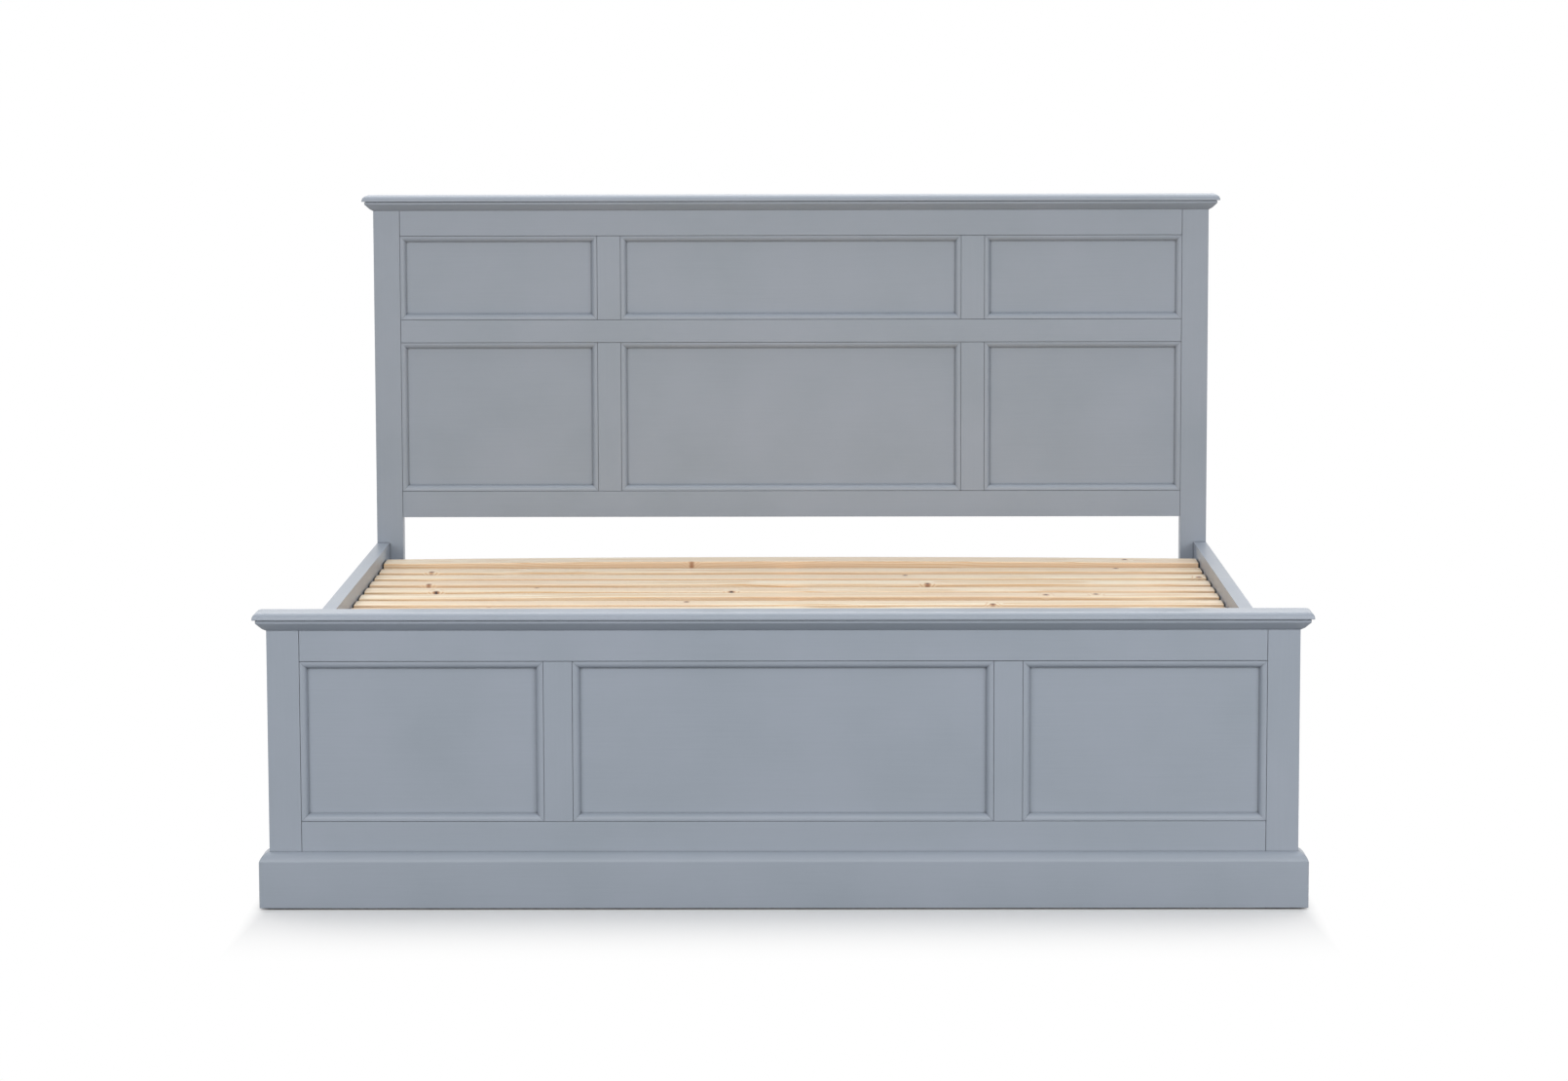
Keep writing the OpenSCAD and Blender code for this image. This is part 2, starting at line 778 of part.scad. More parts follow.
// A folded steel hanger: back plate, seat and two cheeks, drawn with its back at y = 0 facing +Y
module hanger() {
    cheek_x = spine_w / 2 + joint_gap;
    difference() {
        block(-hanger_back / 2, -hanger_t, spine_z - hanger_t - joint_gap, hanger_back, hanger_t, spine_h);
        at_hanger_screws() translate([0, -hanger_t - cut, 0]) screw_hole_y(hanger_t + 2 * cut);
        block(-spine_w / 2, -hanger_t - cut, spine_z + spine_h / 2, spine_w, hanger_t + 2 * cut, spine_h);
    }
    block(-cheek_x - hanger_t, -hanger_l, spine_z - hanger_t - joint_gap,
        2 * (cheek_x + hanger_t), hanger_l, hanger_t);
    for (s = [0, 1])
        mirror([s, 0, 0])
            block(cheek_x, -hanger_l, spine_z - hanger_t - joint_gap, hanger_t, hanger_l, hanger_h);
}

module centre_rail_hangers() {
    color(steel) {
        translate([0, spine_y1 + hanger_t, 0]) hanger();
        translate([0, spine_y0 - hanger_t, 0]) mirror([0, 1, 0]) hanger();
    }
}

// A leg with two cheeks beside the rail, and bores for the cross bolt, insert and stem
module centre_leg() {
    slot_w = spine_w + 2 * joint_gap;
    difference() {
        block(-leg_w / 2, -leg_d / 2, leg_clear, leg_w, leg_d, spine_z + cheek_h - leg_clear);
        block(-slot_w / 2, -leg_d, spine_z, slot_w, 2 * leg_d, cheek_h + cut);
        translate([-leg_w, 0, leg_bolt_z]) rod_x(bolt_d + 2 * bore_gap, 2 * leg_w);
        translate([0, 0, leg_clear - cut]) cylinder(d = insert_d + 2 * bore_gap, h = insert_l + cut);
        cylinder(d = bolt_d + 2 * stem_bore_gap, h = stem_z + stem_l + stem_room);
    }
}

module centre_legs() {
    color(pine) for (y = leg_ys) translate([0, y, 0]) centre_leg();
}

// A hexagon head bolt along +X, its head behind x = 0
module hex_bolt(l) {
    rod_x(bolt_d, l);
    rotate([0, -90, 0]) cylinder(d = bolt_head_d, h = bolt_head_h, $fn = 6);
}

module hex_nut() {
    rotate([0, 90, 0]) difference() {
        cylinder(d = bolt_head_d, h = bolt_head_h, $fn = 6);
        translate([0, 0, -cut]) cylinder(d = bolt_d + 2 * bore_gap, h = bolt_head_h + 2 * cut);
    }
}

module leg_bolts() {
    color(steel) for (y = leg_ys) {
        translate([-leg_w / 2, y, leg_bolt_z]) hex_bolt(leg_w + bolt_head_h + bolt_tail);
        translate([leg_w / 2, y, leg_bolt_z]) hex_nut();
    }
}

// Levelling feet: a pad with a hub, and a threaded stem with a hexagon to turn it

module levelling_pad() {
    color(nylon) difference() {
        union() {
            rotate_extrude() polygon([[0, 0], [pad_d / 2 - pad_chamfer, 0], [pad_d / 2, pad_chamfer],
                [pad_d / 2, pad_t - pad_fall], [hub_d / 2, pad_t], [0, pad_t]]);
            cylinder(d = hub_d, h = pad_t + hub_h);
        }
        translate([0, 0, stem_z - joint_gap]) cylinder(d = bolt_d + 2 * bore_gap, h = pad_t + hub_h);
    }
}

module levelling_stem() {
    color(steel) {
        translate([0, 0, stem_z]) cylinder(d = bolt_d, h = stem_l);
        translate([0, 0, pad_t + hub_h + rest_gap]) cylinder(d = bolt_head_d, h = nut_h, $fn = 6);
    }
}

module levelling_pad_front() {
    translate([0, leg_ys[0], 0]) levelling_pad();
}

module levelling_pad_rear() {
    translate([0, leg_ys[1], 0]) levelling_pad();
}

module levelling_stem_front() {
    translate([0, leg_ys[0], 0]) levelling_stem();
}

module levelling_stem_rear() {
    translate([0, leg_ys[1], 0]) levelling_stem();
}

// Fasteners

module corner_bracket() {
    difference() {
        union() {
            block(side_in - bracket_leg, -bracket_t, bracket_z, bracket_leg, bracket_t, bracket_h);
            block(side_in - bracket_t, -bracket_l, bracket_z, bracket_t, bracket_l, bracket_h);
        }
        for (z = bracket_zs)
            translate([bracket_bolt_x, -bracket_t - cut, z])
                rod_y(bolt_d + 2 * bore_gap, bracket_t + 2 * cut);
        for (i = [0, 1])
            translate([side_in - bracket_t, -bracket_screw_ys[i], bracket_zs[i]])
                sunk_hole_x(bracket_t + cut);
    }
}

module corner_brackets() {
    color(steel) at_corners() corner_bracket();
}

module bracket_bolts() {
    color(steel) at_corners()
        for (z = bracket_zs)
            translate([bracket_bolt_x, -bracket_t, z]) rotate([0, 0, 90]) hex_bolt(bracket_t + bolt_l);
}

// A threaded sleeve along +X from x = 0
module insert_sleeve() {
    rotate([0, 90, 0]) difference() {
        cylinder(d = insert_d, h = insert_l);
        translate([0, 0, -cut]) cylinder(d = bolt_d + 2 * bore_gap, h = insert_l + 2 * cut);
    }
}

module threaded_inserts() {
    color(steel) {
        at_corners()
            for (z = bracket_zs)
                translate([bracket_bolt_x, 0, z]) rotate([0, 0, 90]) insert_sleeve();
        for (y = leg_ys)
            translate([0, y, leg_clear]) rotate([0, -90, 0]) insert_sleeve();
    }
}

// A countersunk wood screw along +X, its head flush with x = 0
module wood_screw(l) {
    slot_l = screw_head_d / 2;
    difference() {
        union() {
            rod_x(screw_d, l);
            rotate([0, 90, 0]) cylinder(d1 = screw_head_d, d2 = screw_d, h = screw_head_h);
        }
        block(-cut, -slot_l / 2, -screw_slot_w / 2, cut + screw_slot_d, slot_l, screw_slot_w);
        block(-cut, -screw_slot_w / 2, -slot_l / 2, cut + screw_slot_d, screw_slot_w, slot_l);
    }
}

module wood_screws() {
    color(steel) {
        at_sides() {
            at_ledge_screws() wood_screw(screw_long);
            at_bracket_screws() wood_screw(screw_short);
        }
        at_cross_screws() rotate([0, 0, -90]) wood_screw(screw_long);
        translate([0, head_y + head_cross_set - hanger_t, 0]) at_hanger_screws()
            rotate([0, 0, 90]) pan_screw();
        translate([0, foot_cross_y + cross_t + hanger_t, 0]) mirror([0, 1, 0])
            at_hanger_screws() rotate([0, 0, 90]) pan_screw();
    }
}

// A short screw with a flat disc head in front of x = 0, for the thin hanger plates
module pan_screw() {
    rod_x(screw_d, screw_short);
    rotate([0, -90, 0]) cylinder(d = screw_head_d, h = screw_head_h);
}

// A nylon disc under each post, held by its own pin
module floor_glide() {
    translate([half_w - post_w / 2, post_d / 2, 0]) {
        cylinder(d = glide_d, h = glide_t);
        cylinder(d = glide_pin_d, h = glide_t + glide_pin_l);
    }
}

module floor_glides() {
    color(nylon) {
        at_head() at_sides() floor_glide();
        at_foot() at_sides() floor_glide();
    }
}

// Slatted base

// Outline of a slat from the side: flat bar bent to a shallow bow
module slat_outline(i) {
    steps = bow(i) == 0 ? 1 : slat_steps;
    xs = [for (k = [0 : steps]) -slat_half + 2 * slat_half * k / steps];
    under = [for (x = xs) [x, slat_rise(i, x)]];
    over = [for (k = [steps : -1 : 0]) [xs[k], slat_rise(i, xs[k]) + thickness(i)]];
    polygon(concat(under, over));
}

module slat(i) {
    color(pine) translate([0, slat_y(i), slat_z]) rotate([0, 0, yaw(i)])
        translate([0, width(i) / 2, 0]) rotate([90, 0, 0]) linear_extrude(width(i)) slat_outline(i);
}

// A webbing strap that passes under every slat, following their bows
module strap() {
    under = [for (i = [0 : slat_n - 1]) for (s = [-1, 1])
        [slat_y(i) + s * (width(i) / 2 + strap_flat),
            slat_z + slat_rise(i, strap_x + strap_w / 2) - rest_gap]];
    n = len(under);
    lower = [for (k = [n - 1 : -1 : 0]) under[k] - [0, strap_t]];
    translate([strap_x - strap_w / 2, 0, 0]) rotate([90, 0, 90]) linear_extrude(strap_w)
        polygon(concat(under, lower));
}

module slat_straps() {
    color(webbing) at_sides() strap();
}

head_post_left();
head_post_right();
head_top_rail();
head_mid_rail();
head_bottom_rail();
head_upper_muntins();
head_lower_muntins();
head_upper_panels();
head_lower_panels();
head_upper_beads();
head_lower_beads();
head_cap_board();
head_cornice();
foot_post_left();
foot_post_right();
foot_top_rail();
foot_bottom_rail();
foot_muntins();
foot_panels();
foot_beads();
foot_cap_board();
foot_cornice();
foot_plinth();
side_rail_left();
side_rail_right();
side_ledges();
head_cross_rail();
foot_cross_rail();
centre_rail();
centre_rail_hangers();
centre_legs();
leg_bolts();
levelling_pad_front();
levelling_pad_rear();
levelling_stem_front();
levelling_stem_rear();
corner_brackets();
bracket_bolts();
threaded_inserts();
wood_screws();
floor_glides();
slat_straps();
slat(0);  // slat_01
slat(1);  // slat_02
slat(2);  // slat_03
slat(3);  // slat_04
slat(4);  // slat_05
slat(5);  // slat_06
slat(6);  // slat_07
slat(7);  // slat_08
slat(8);  // slat_09
slat(9);  // slat_10
slat(10);  // slat_11
slat(11);  // slat_12
slat(12);  // slat_13
slat(13);  // slat_14
slat(14);  // slat_15
slat(15);  // slat_16
slat(16);  // slat_17
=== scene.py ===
"""Painted panelled bed frame: finishes, mouldings, slats, fittings and a plain studio around the frame."""

import math
import random

import bpy
from bpy.props import FloatProperty, FloatVectorProperty, IntProperty, PointerProperty
from mathutils import Matrix, Vector


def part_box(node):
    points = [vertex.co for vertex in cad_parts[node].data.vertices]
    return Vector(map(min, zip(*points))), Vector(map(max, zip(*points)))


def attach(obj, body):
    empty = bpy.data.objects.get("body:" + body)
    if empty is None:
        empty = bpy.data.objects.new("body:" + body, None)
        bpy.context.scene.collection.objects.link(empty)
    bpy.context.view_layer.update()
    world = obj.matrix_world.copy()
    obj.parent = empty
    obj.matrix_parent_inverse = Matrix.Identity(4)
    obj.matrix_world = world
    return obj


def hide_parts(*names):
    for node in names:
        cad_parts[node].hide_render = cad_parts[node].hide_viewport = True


bl_info = {
    "name": "Panelled bed frame",
    "version": (1, 0, 0),
    "blender": (4, 5, 0),
    "location": "3D View > Sidebar > Bed",
    "description": "Dresses a bed frame with painted boards, mouldings, pine slats and steel fittings",
    "category": "Object",
}

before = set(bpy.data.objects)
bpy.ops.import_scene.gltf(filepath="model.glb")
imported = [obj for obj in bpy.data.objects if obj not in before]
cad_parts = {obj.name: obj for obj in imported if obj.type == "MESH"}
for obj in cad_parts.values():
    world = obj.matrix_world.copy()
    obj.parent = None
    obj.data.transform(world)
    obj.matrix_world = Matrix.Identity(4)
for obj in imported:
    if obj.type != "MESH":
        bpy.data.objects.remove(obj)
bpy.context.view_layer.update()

# Lengths are in metres. These places and widths come from the frame
FOOT_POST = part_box("foot_post_right")
HEAD_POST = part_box("head_post_right")
HALF_W = FOOT_POST[1][0]
POST_W = FOOT_POST[1][0] - FOOT_POST[0][0]
FOOT_Y = FOOT_POST[0][1]
HEAD_Y = HEAD_POST[0][1]
POST_D = FOOT_POST[1][1] - FOOT_POST[0][1]
SIDE_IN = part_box("side_rail_right")[0][0]
INNER_MUNTIN = min(abs(vertex.co.x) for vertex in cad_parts["foot_muntins"].data.vertices)
SLATS = sorted(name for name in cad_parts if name.startswith("slat_") and name != "slat_straps")
LEG_YS = [
    (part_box(name)[0][1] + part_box(name)[1][1]) / 2
    for name in ("levelling_pad_front", "levelling_pad_rear")
]

# The three rows of openings: name of the row, its rails, its muntins and the board's front
ROWS = (
    ("head_upper", "head_mid_rail", "head_top_rail", "head_upper_muntins", HEAD_Y),
    ("head_lower", "head_bottom_rail", "head_mid_rail", "head_lower_muntins", HEAD_Y),
    ("foot", "foot_bottom_rail", "foot_top_rail", "foot_muntins", FOOT_Y),
)
# The painted boards, by the axis that their brush strokes follow
ALONG_X = (
    "head_top_rail", "head_mid_rail", "head_bottom_rail", "foot_top_rail", "foot_bottom_rail",
    "head_upper_panels", "head_lower_panels", "foot_panels", "head_cross_rail", "foot_cross_rail",
)
ALONG_Y = ("side_rail_left", "side_rail_right", "side_ledges")
ALONG_Z = (
    "head_post_left", "head_post_right", "foot_post_left", "foot_post_right",
    "head_upper_muntins", "head_lower_muntins", "foot_muntins",
)

# How the slats lie in the frame: every second one is bowed by a share of the most bowed one, which is the
# last, and each is turned from square. The steps are in degrees from one slat to the next
BOW_SHARE, BOW_SWING, BOW_STEP = 0.4, 0.2, 137
TURN_START, TURN_STEP = 40, 100
# The sideways wander of a slat: radians of its wave from the middle to an end
WANDER_TURN = 2.2
# The place of each slat in its log, drawn by chance: along, across, and the least and most depth
SLAT_SEED = 41
LOG_ALONG, LOG_ACROSS, LOG_DEPTH = 40.0, 0.03, (0.02, 0.07)
# The log of the centre rail and its legs: the place of its heart, and the turn of its grain in degrees
RAIL_HEART, RAIL_GRAIN = (0.0, 0.03, -0.45), 88

# Points of a CAD mesh closer than this are joined. Triangles that turn by less than the first angle, in
# degrees, are one flat face, and an edge that turns by more than the second is sharp
WELD_REACH = 0.00001
FLAT_ANGLE, SHARP_ANGLE = 0.5, 35.0

# The camera: its place, its yaw, pitch and roll in degrees, its focal length in pixels of the photograph,
# the width of its sensor in millimetres and the furthest that it sees
CAMERA_PLACE = (0.0804, -9.3759, 1.6805)
CAMERA_TURNS = (0.5358, 6.7574, -0.1392)
FOCAL_PIXELS = 4623.8
SENSOR_WIDTH = 36.0
VIEW_LIMIT = 200.0

# The soft lights: the name of each, its size, its place and the point that it faces
MIDDLE, FOOT_END = (0.0, 0.0, 0.4), (0.0, -1.0, 0.4)
LAMPS = (
    ("overhead", 8.0, (0.0, 2.5, 5.0), MIDDLE),
    ("front", 7.0, (-0.8, -9.6, 4.1), MIDDLE),
    ("left_fill", 2.5, (-3.5, -5.0, 2.0), FOOT_END),
    ("right_fill", 2.5, (3.5, -5.0, 2.0), FOOT_END),
)
# The floor: how far it reaches from the middle, and how far it lies below the bed's feet
FLOOR_EXTENT, FLOOR_DROP = 40.0, 0.0002


def linear(hex_colour):
    """Linear red, green and blue of an sRGB hex colour."""
    parts = [int(hex_colour[i:i + 2], 16) / 255 for i in (0, 2, 4)]
    return tuple(c / 12.92 if c <= 0.04045 else ((c + 0.055) / 1.055) ** 2.4 for c in parts)


def opaque(colour):
    """The colour with full opacity, for a colour socket."""
    return (*colour, 1.0)


def length(name, description, default):
    """A length in metres that a user may change."""
    return FloatProperty(name=name, description=description, default=default, min=0.0,
                         precision=5, subtype="DISTANCE", unit="LENGTH")


def colour(name, description, hex_colour):
    """A surface colour that a user may change."""
    return FloatVectorProperty(name=name, description=description, default=linear(hex_colour),
                               min=0.0, max=1.0, subtype="COLOR", size=3)


def factor(name, description, default, top=1.0):
    """A plain number that a user may change."""
    return FloatProperty(name=name, description=description, default=default, min=0.0, max=top)


class BoardSizes(bpy.types.PropertyGroup):
    """Sizes of the mouldings on the two boards"""
    cap_radius: length("Cap edge radius", "Radius of the cap board's front and end edges", 0.012)
    cap_back_radius: length("Cap back radius", "Radius of the cap board's back top edge", 0.005)
    cap_tip_radius: length("Cap tip radius", "Radius of the cap board's corners from above", 0.0025)
    cornice_lip: length("Cornice lip", "Distance from the cap board down to the lip's lower edge", 0.0065)
    cornice_quirk: length("Cornice line", "Height of the shadow line between cap board and lip", 0.0012)
    cornice_quirk_depth: length("Cornice line depth", "Depth of that shadow line", 0.003)
    cornice_foot: length("Cornice foot", "Projection where the slope turns in to the board", 0.007)
    cornice_turn: length("Cornice turn", "Height of that turn above the cornice's lower edge", 0.0043)
    plinth_fall: length("Plinth fall", "Height over which the plinth's top rounds off", 0.018)
    plinth_radius: length("Plinth edge radius", "Radius of the plinth's shallow top arc", 0.025)
    bead_width: length("Bead width", "Width of the bead around a panel", 0.0135)
    bead_radius: length("Bead radius", "Radius of the bead's inner edge", 0.010)
    bead_set: length("Bead set-back", "Depth of the bead's face behind the frame", 0.0006)
    bead_foot: length("Bead foot", "Width of the foot beyond the rounded edge", 0.0005)
    bead_gap: length("Bead gap", "Width of the line between a bead and its opening", 0.0004)
    mitre_gap: length("Mitre gap", "Half the width of the line in a mitre", 0.00015)
    joint_slot: length("Joint slot", "Half the width of the line between two boards", 0.00035)
    arris: length("Arris", "Width of the eased edges of boards", 0.0009)
    fine_arris: length("Fine arris", "Width of the eased edges of mouldings", 0.0004)


class SlatSizes(bpy.types.PropertyGroup):
    """Sizes of the pine slats and the straps under them"""
    bow: length("Bow", "Rise of the most bowed slat at its middle", 0.005)
    yaw: factor("Turn", "Largest turn of a slat from square, in degrees", 0.22)
    edge_radius: length("Edge radius", "Radius of the long edges", 0.002)
    end_gap: length("End gap", "Gap between a slat's end and the side rail", 0.004)
    cup: length("Cup", "Rise of the top across its width", 0.0003)
    wander: length("Wander", "Sideways wander of a slat along its length", 0.0008)
    strap_width: length("Strap width", "Width of a webbing strap", 0.038)
    strap_thickness: length("Strap thickness", "Thickness of a webbing strap", 0.0012)
    strap_in: length("Strap distance", "Distance from a slat's end to the strap's middle", 0.135)
    strap_sag: length("Strap sag", "Sag of the strap between two slats", 0.0015)
    strap_gap: length("Strap gap", "Gap between a strap and a slat's underside", 0.0003)
    strap_inset: length("Strap inset", "Distance from a slat's edge to where the strap begins to sag", 0.003)
    staple_crown: length("Staple crown", "Width of a staple", 0.010)
    staple_wire: length("Staple wire", "Radius of a staple's wire", 0.0006)
    staple_drop: length("Staple drop", "Distance of a staple's crown below the strap", 0.0005)
    staple_bend: length("Staple bend", "Rise of a staple's two ends", 0.0008)


class PaintLook(bpy.types.PropertyGroup):
    """Finish of the painted boards"""
    tone: colour("Paint", "Colour of the paint", "9BA3AF")
    shade: colour("Paint shade", "Colour of the paint where the film lies thinner", "969FAA")
    roughness: factor("Roughness", "Roughness of the satin film", 0.34)
    stroke_width: length("Stroke width", "Width of a brush stroke's ridge", 0.0018)
    stroke_length: length("Stroke length", "Length of a brush stroke's ridge", 0.12)
    stroke_height: length("Stroke height", "Height of a brush stroke's ridge", 0.00002)
    stipple_size: length("Stipple size", "Size of the fine stipple between the strokes", 0.00108)
    cloud_size: length("Cloud size", "Size of the film's uneven patches", 0.22)
    # Painted shade: the next two set how far and how deeply the paint's colour is darkened into creases
    painted_shade_reach: length("Crease reach", "Distance over which the film darkens into a crease", 0.007)
    painted_crease_shade: factor("Crease shade", "Brightness of the film at the bottom of a crease", 0.42)


class PineLook(bpy.types.PropertyGroup):
    """Finish of the bare pine"""
    early: colour("Early wood", "Colour of the wide pale part of a ring", "FFF0D6")
    late: colour("Late wood", "Colour of the narrow dark part of a ring", "E6BF8C")
    blush: colour("Blush", "Colour of the pinkish heart wood patches", "F3DABD")
    painted_side_shade: colour("Sawn edge", "Tint of the sawn long edges", "F7E9DC")
    # Painted shade: a tint that darkens the faces whose normal runs along y, the slats' long sides
    knot: colour("Knot", "Colour of a knot's middle", "2E1A0E")
    knot_rim: colour("Knot rim", "Colour of the rim around a knot", "A4693C")
    ring_width: length("Ring width", "Width of a growth ring", 0.0045)
    fibre_width: length("Fibre width", "Width of a fibre streak", 0.0012)
    fibre_length: length("Fibre length", "Length of a fibre streak", 0.07)
    fibre_depth: length("Fibre depth", "Depth of the grain that the plane leaves", 0.00008)
    wave_length: length("Wave length", "Length of a slow bend of the grain along the plank", 0.714286)
    wave_width: length("Wave width", "Width of a slow bend of the grain across the plank", 0.142857)
    heart_across: length("Heart wander across", "Sideways wander of the log's heart", 0.05)
    heart_deep: length("Heart wander in depth", "Wander of the log's heart in depth", 0.03)
    taper: factor("Taper", "Share of the length that counts in the rings, as the log tapers", 0.004)
    knot_pitch: length("Knot pitch", "Usual distance between two places for a knot", 0.11)
    knot_radius: length("Knot radius", "Half the length of a usual knot along the slat", 0.0042)
    knot_oval: factor("Knot oval", "Length of a knot along the slat as a share of its width across", 0.55)
    knot_share: factor("Knot share", "Share of the places that hold a knot", 0.16)
    knot_reach: length("Knot reach", "Distance within which a knot bends the rings", 0.026)
    knot_bend: factor("Knot bend", "Number of rings by which a knot bends the grain", 1.8, 10.0)
    roughness: factor("Roughness", "Roughness of the planed face", 0.40)


class FittingLook(bpy.types.PropertyGroup):
    """Finish of the steel, nylon and webbing"""
    zinc: colour("Zinc", "Colour of zinc-plated steel", "C6C9CC")
    zinc_dull: colour("Dull zinc", "Colour of the duller zinc patches", "A9ADB2")
    nylon: colour("Nylon", "Colour of the moulded nylon", "2B2C2E")
    webbing: colour("Webbing", "Colour of the strap's raised threads", "E0DCD0")
    # Painted shade: the darker colour between the threads stands in for the shade in the weave's hollows
    webbing_painted_shade: colour("Webbing shade", "Colour between the strap's threads", "A8A294")
    zinc_roughness: factor("Zinc roughness", "Roughness of the plating", 0.34)
    nylon_roughness: factor("Nylon roughness", "Roughness of the moulded nylon", 0.5)
    webbing_roughness: factor("Webbing roughness", "Roughness of the strap's threads", 0.85)
    webbing_sheen: factor("Webbing sheen", "Soft sheen of the strap's loose fibres", 0.3)
    zinc_patch: length("Zinc patch", "Size of the duller zinc patches", 0.00714286)
    mark_size: length("Mark size", "Size of the rolling marks under the plating", 0.000555556)
    mark_depth: length("Mark depth", "Depth of the rolling marks", 0.00003)
    grit_size: length("Grit size", "Size of the grain of the nylon's mould", 0.000454545)
    grit_depth: length("Grit depth", "Depth of the grain of the nylon's mould", 0.00005)
    pressed_edge: length("Pressed edge", "Width of the eased edges of pressed steel and pads", 0.0006)
    turned_edge: length("Turned edge", "Width of the eased edges of bolts", 0.0004)
    glide_edge: length("Glide edge", "Width of the eased edges of the floor glides", 0.0005)
    stem_radius: length("Stem radius", "Outer radius of a levelling stem's thread", 0.004)
    hexagon_height: length("Hexagon height", "Height of a levelling stem's hexagon", 0.005)
    hexagon_chamfer: length("Hexagon chamfer", "Width of the chamfer on the hexagon's corners", 0.0008)
    hexagon_gap: length("Hexagon gap", "Gap between the pad and the hexagon", 0.0003)
    thread_pitch: length("Thread pitch", "Rise of a machine thread in one turn", 0.00125)
    thread_depth: length("Thread depth", "Depth of a machine thread", 0.0006)
    weave_pitch: length("Weave pitch", "Distance between two threads along the strap", 0.0016)
    weft_pitch: length("Weft pitch", "Distance between two threads across the strap", 0.00228571)
    weave_depth: length("Weave depth", "Depth between two threads of the strap", 0.0003)


class StageLook(bpy.types.PropertyGroup):
    """Floor, light and camera"""
    floor: colour("Floor", "Colour of the floor where it takes the shadow", "F4F4F4")
    floor_bounce: colour("Floor bounce", "Colour of the floor for the light that it throws back", "757575")
    ambient: factor("Ambient light", "Strength of the even light from all round", 0.395, 4.0)
    overhead: factor("Overhead light", "Power of the light over the headboard in watts", 309.0, 4000.0)
    front: factor("Front light", "Power of the large front light in watts", 206.0, 4000.0)
    left_fill: factor("Left fill", "Power of the low light on the left in watts", 74.0, 4000.0)
    right_fill: factor("Right fill", "Power of the low light on the right in watts", 104.0, 4000.0)
    front_reach: length("Front reach", "Distance before the bed over which the floor turns white", 0.50)
    side_reach: length("Side reach", "Distance beside the bed over which the floor turns white", 0.04)
    image_width: IntProperty(name="Image width", description="Width of the photograph in pixels",
                             default=1610, min=1)


def connect(node, links):
    """Links outputs, or the first output of other nodes, to the node's named inputs."""
    for socket, source in dict(links).items():
        if isinstance(source, bpy.types.Node):
            source = source.outputs[0]
        node.id_data.links.new(source, node.inputs[socket])


def add_node(tree, kind, settings=(), values=(), links=(), stops=()):
    """Adds a shader node with its settings, socket values, incoming links and ramp stops."""
    node = tree.nodes.new("ShaderNode" + kind)
    for name, value in dict(settings).items():
        setattr(node, name, value)
    for socket, value in dict(values).items():
        node.inputs[socket].default_value = value
    connect(node, links)
    if stops:
        elements = node.color_ramp.elements
        while len(elements) < len(stops):
            elements.new(0.5)
        for element, (position, tint) in zip(elements, stops):
            element.position = position
            element.color = opaque(tint)
    return node


def new_material(name):
    """An empty node material, its tree and its surface shader."""
    material = bpy.data.materials.new(name)
    material.use_nodes = True
    tree = material.node_tree
    tree.nodes.clear()
    shader = add_node(tree, "BsdfPrincipled")
    add_node(tree, "OutputMaterial", links={"Surface": shader})
    return material, tree, shader


# Satin paint, brushed in the direction of the board: faint long ridges, soft uneven patches, half-gloss, and
# painted shade darkening its creases
def satin_paint(direction):
    """Satin paint whose brush strokes run along the x, y or z axis."""
    name = "satin paint along " + direction
    if name in bpy.data.materials:
        return bpy.data.materials[name]
    look = bpy.context.scene.bed_paint
    material, tree, shader = new_material(name)
    coordinates = add_node(tree, "TexCoord").outputs["Object"]
    scale = [1 / look.stroke_width] * 3
    scale["xyz".index(direction)] = 1 / look.stroke_length
    stretched = add_node(tree, "Mapping", values={"Scale": scale}, links={"Vector": coordinates})
    strokes = add_node(tree, "TexNoise", values={"Scale": 1.0, "Detail": 3.0, "Roughness": 0.6},
                       links={"Vector": stretched})
    clouds = add_node(tree, "TexNoise",
                      values={"Scale": 1 / look.cloud_size, "Detail": 4.0, "Roughness": 0.55},
                      links={"Vector": coordinates})
    stipple = add_node(tree, "TexNoise", values={"Scale": 1 / look.stipple_size, "Detail": 1.0},
                       links={"Vector": coordinates})
    cloud_tone = add_node(tree, "ValToRGB", links={"Fac": clouds},
                          stops=((0.3, look.shade), (0.7, look.tone)))
    stroke_shade = add_node(tree, "MapRange",
                            values={"From Min": 0.2, "From Max": 0.8, "To Min": 0.975, "To Max": 1.02},
                            links={"Value": strokes})
    toned = add_node(tree, "MixRGB", {"blend_type": "MULTIPLY"}, {"Fac": 1.0},
                     {"Color1": cloud_tone, "Color2": stroke_shade})

    # Painted shade: the paint's colour is darkened in the creases between boards, beads and mouldings, where
    # little is open within a short reach
    openness = add_node(tree, "AmbientOcclusion", {"samples": 8}, {"Distance": look.painted_shade_reach})
    crease = add_node(tree, "MapRange",
                      values={"From Min": 0.35, "From Max": 0.8, "To Min": look.painted_crease_shade, "To Max": 1.0},
                      links={"Value": openness.outputs["AO"]})
    shade_in_creases = add_node(tree, "MixRGB", {"blend_type": "MULTIPLY"}, {"Fac": 1.0},
                        {"Color1": toned, "Color2": crease})
    gloss = add_node(tree, "MapRange",
                     values={"From Min": 0.3, "From Max": 0.7,
                             "To Min": look.roughness - 0.05, "To Max": look.roughness + 0.06},
                     links={"Value": clouds})
    height = add_node(tree, "Math", {"operation": "MULTIPLY_ADD"}, {1: 0.35}, {0: stipple, 2: strokes})
    bump = add_node(tree, "Bump", values={"Strength": 0.5, "Distance": look.stroke_height},
                    links={"Height": height})
    connect(shader, {"Base Color": shade_in_creases, "Roughness": gloss, "Normal": bump})
    return material
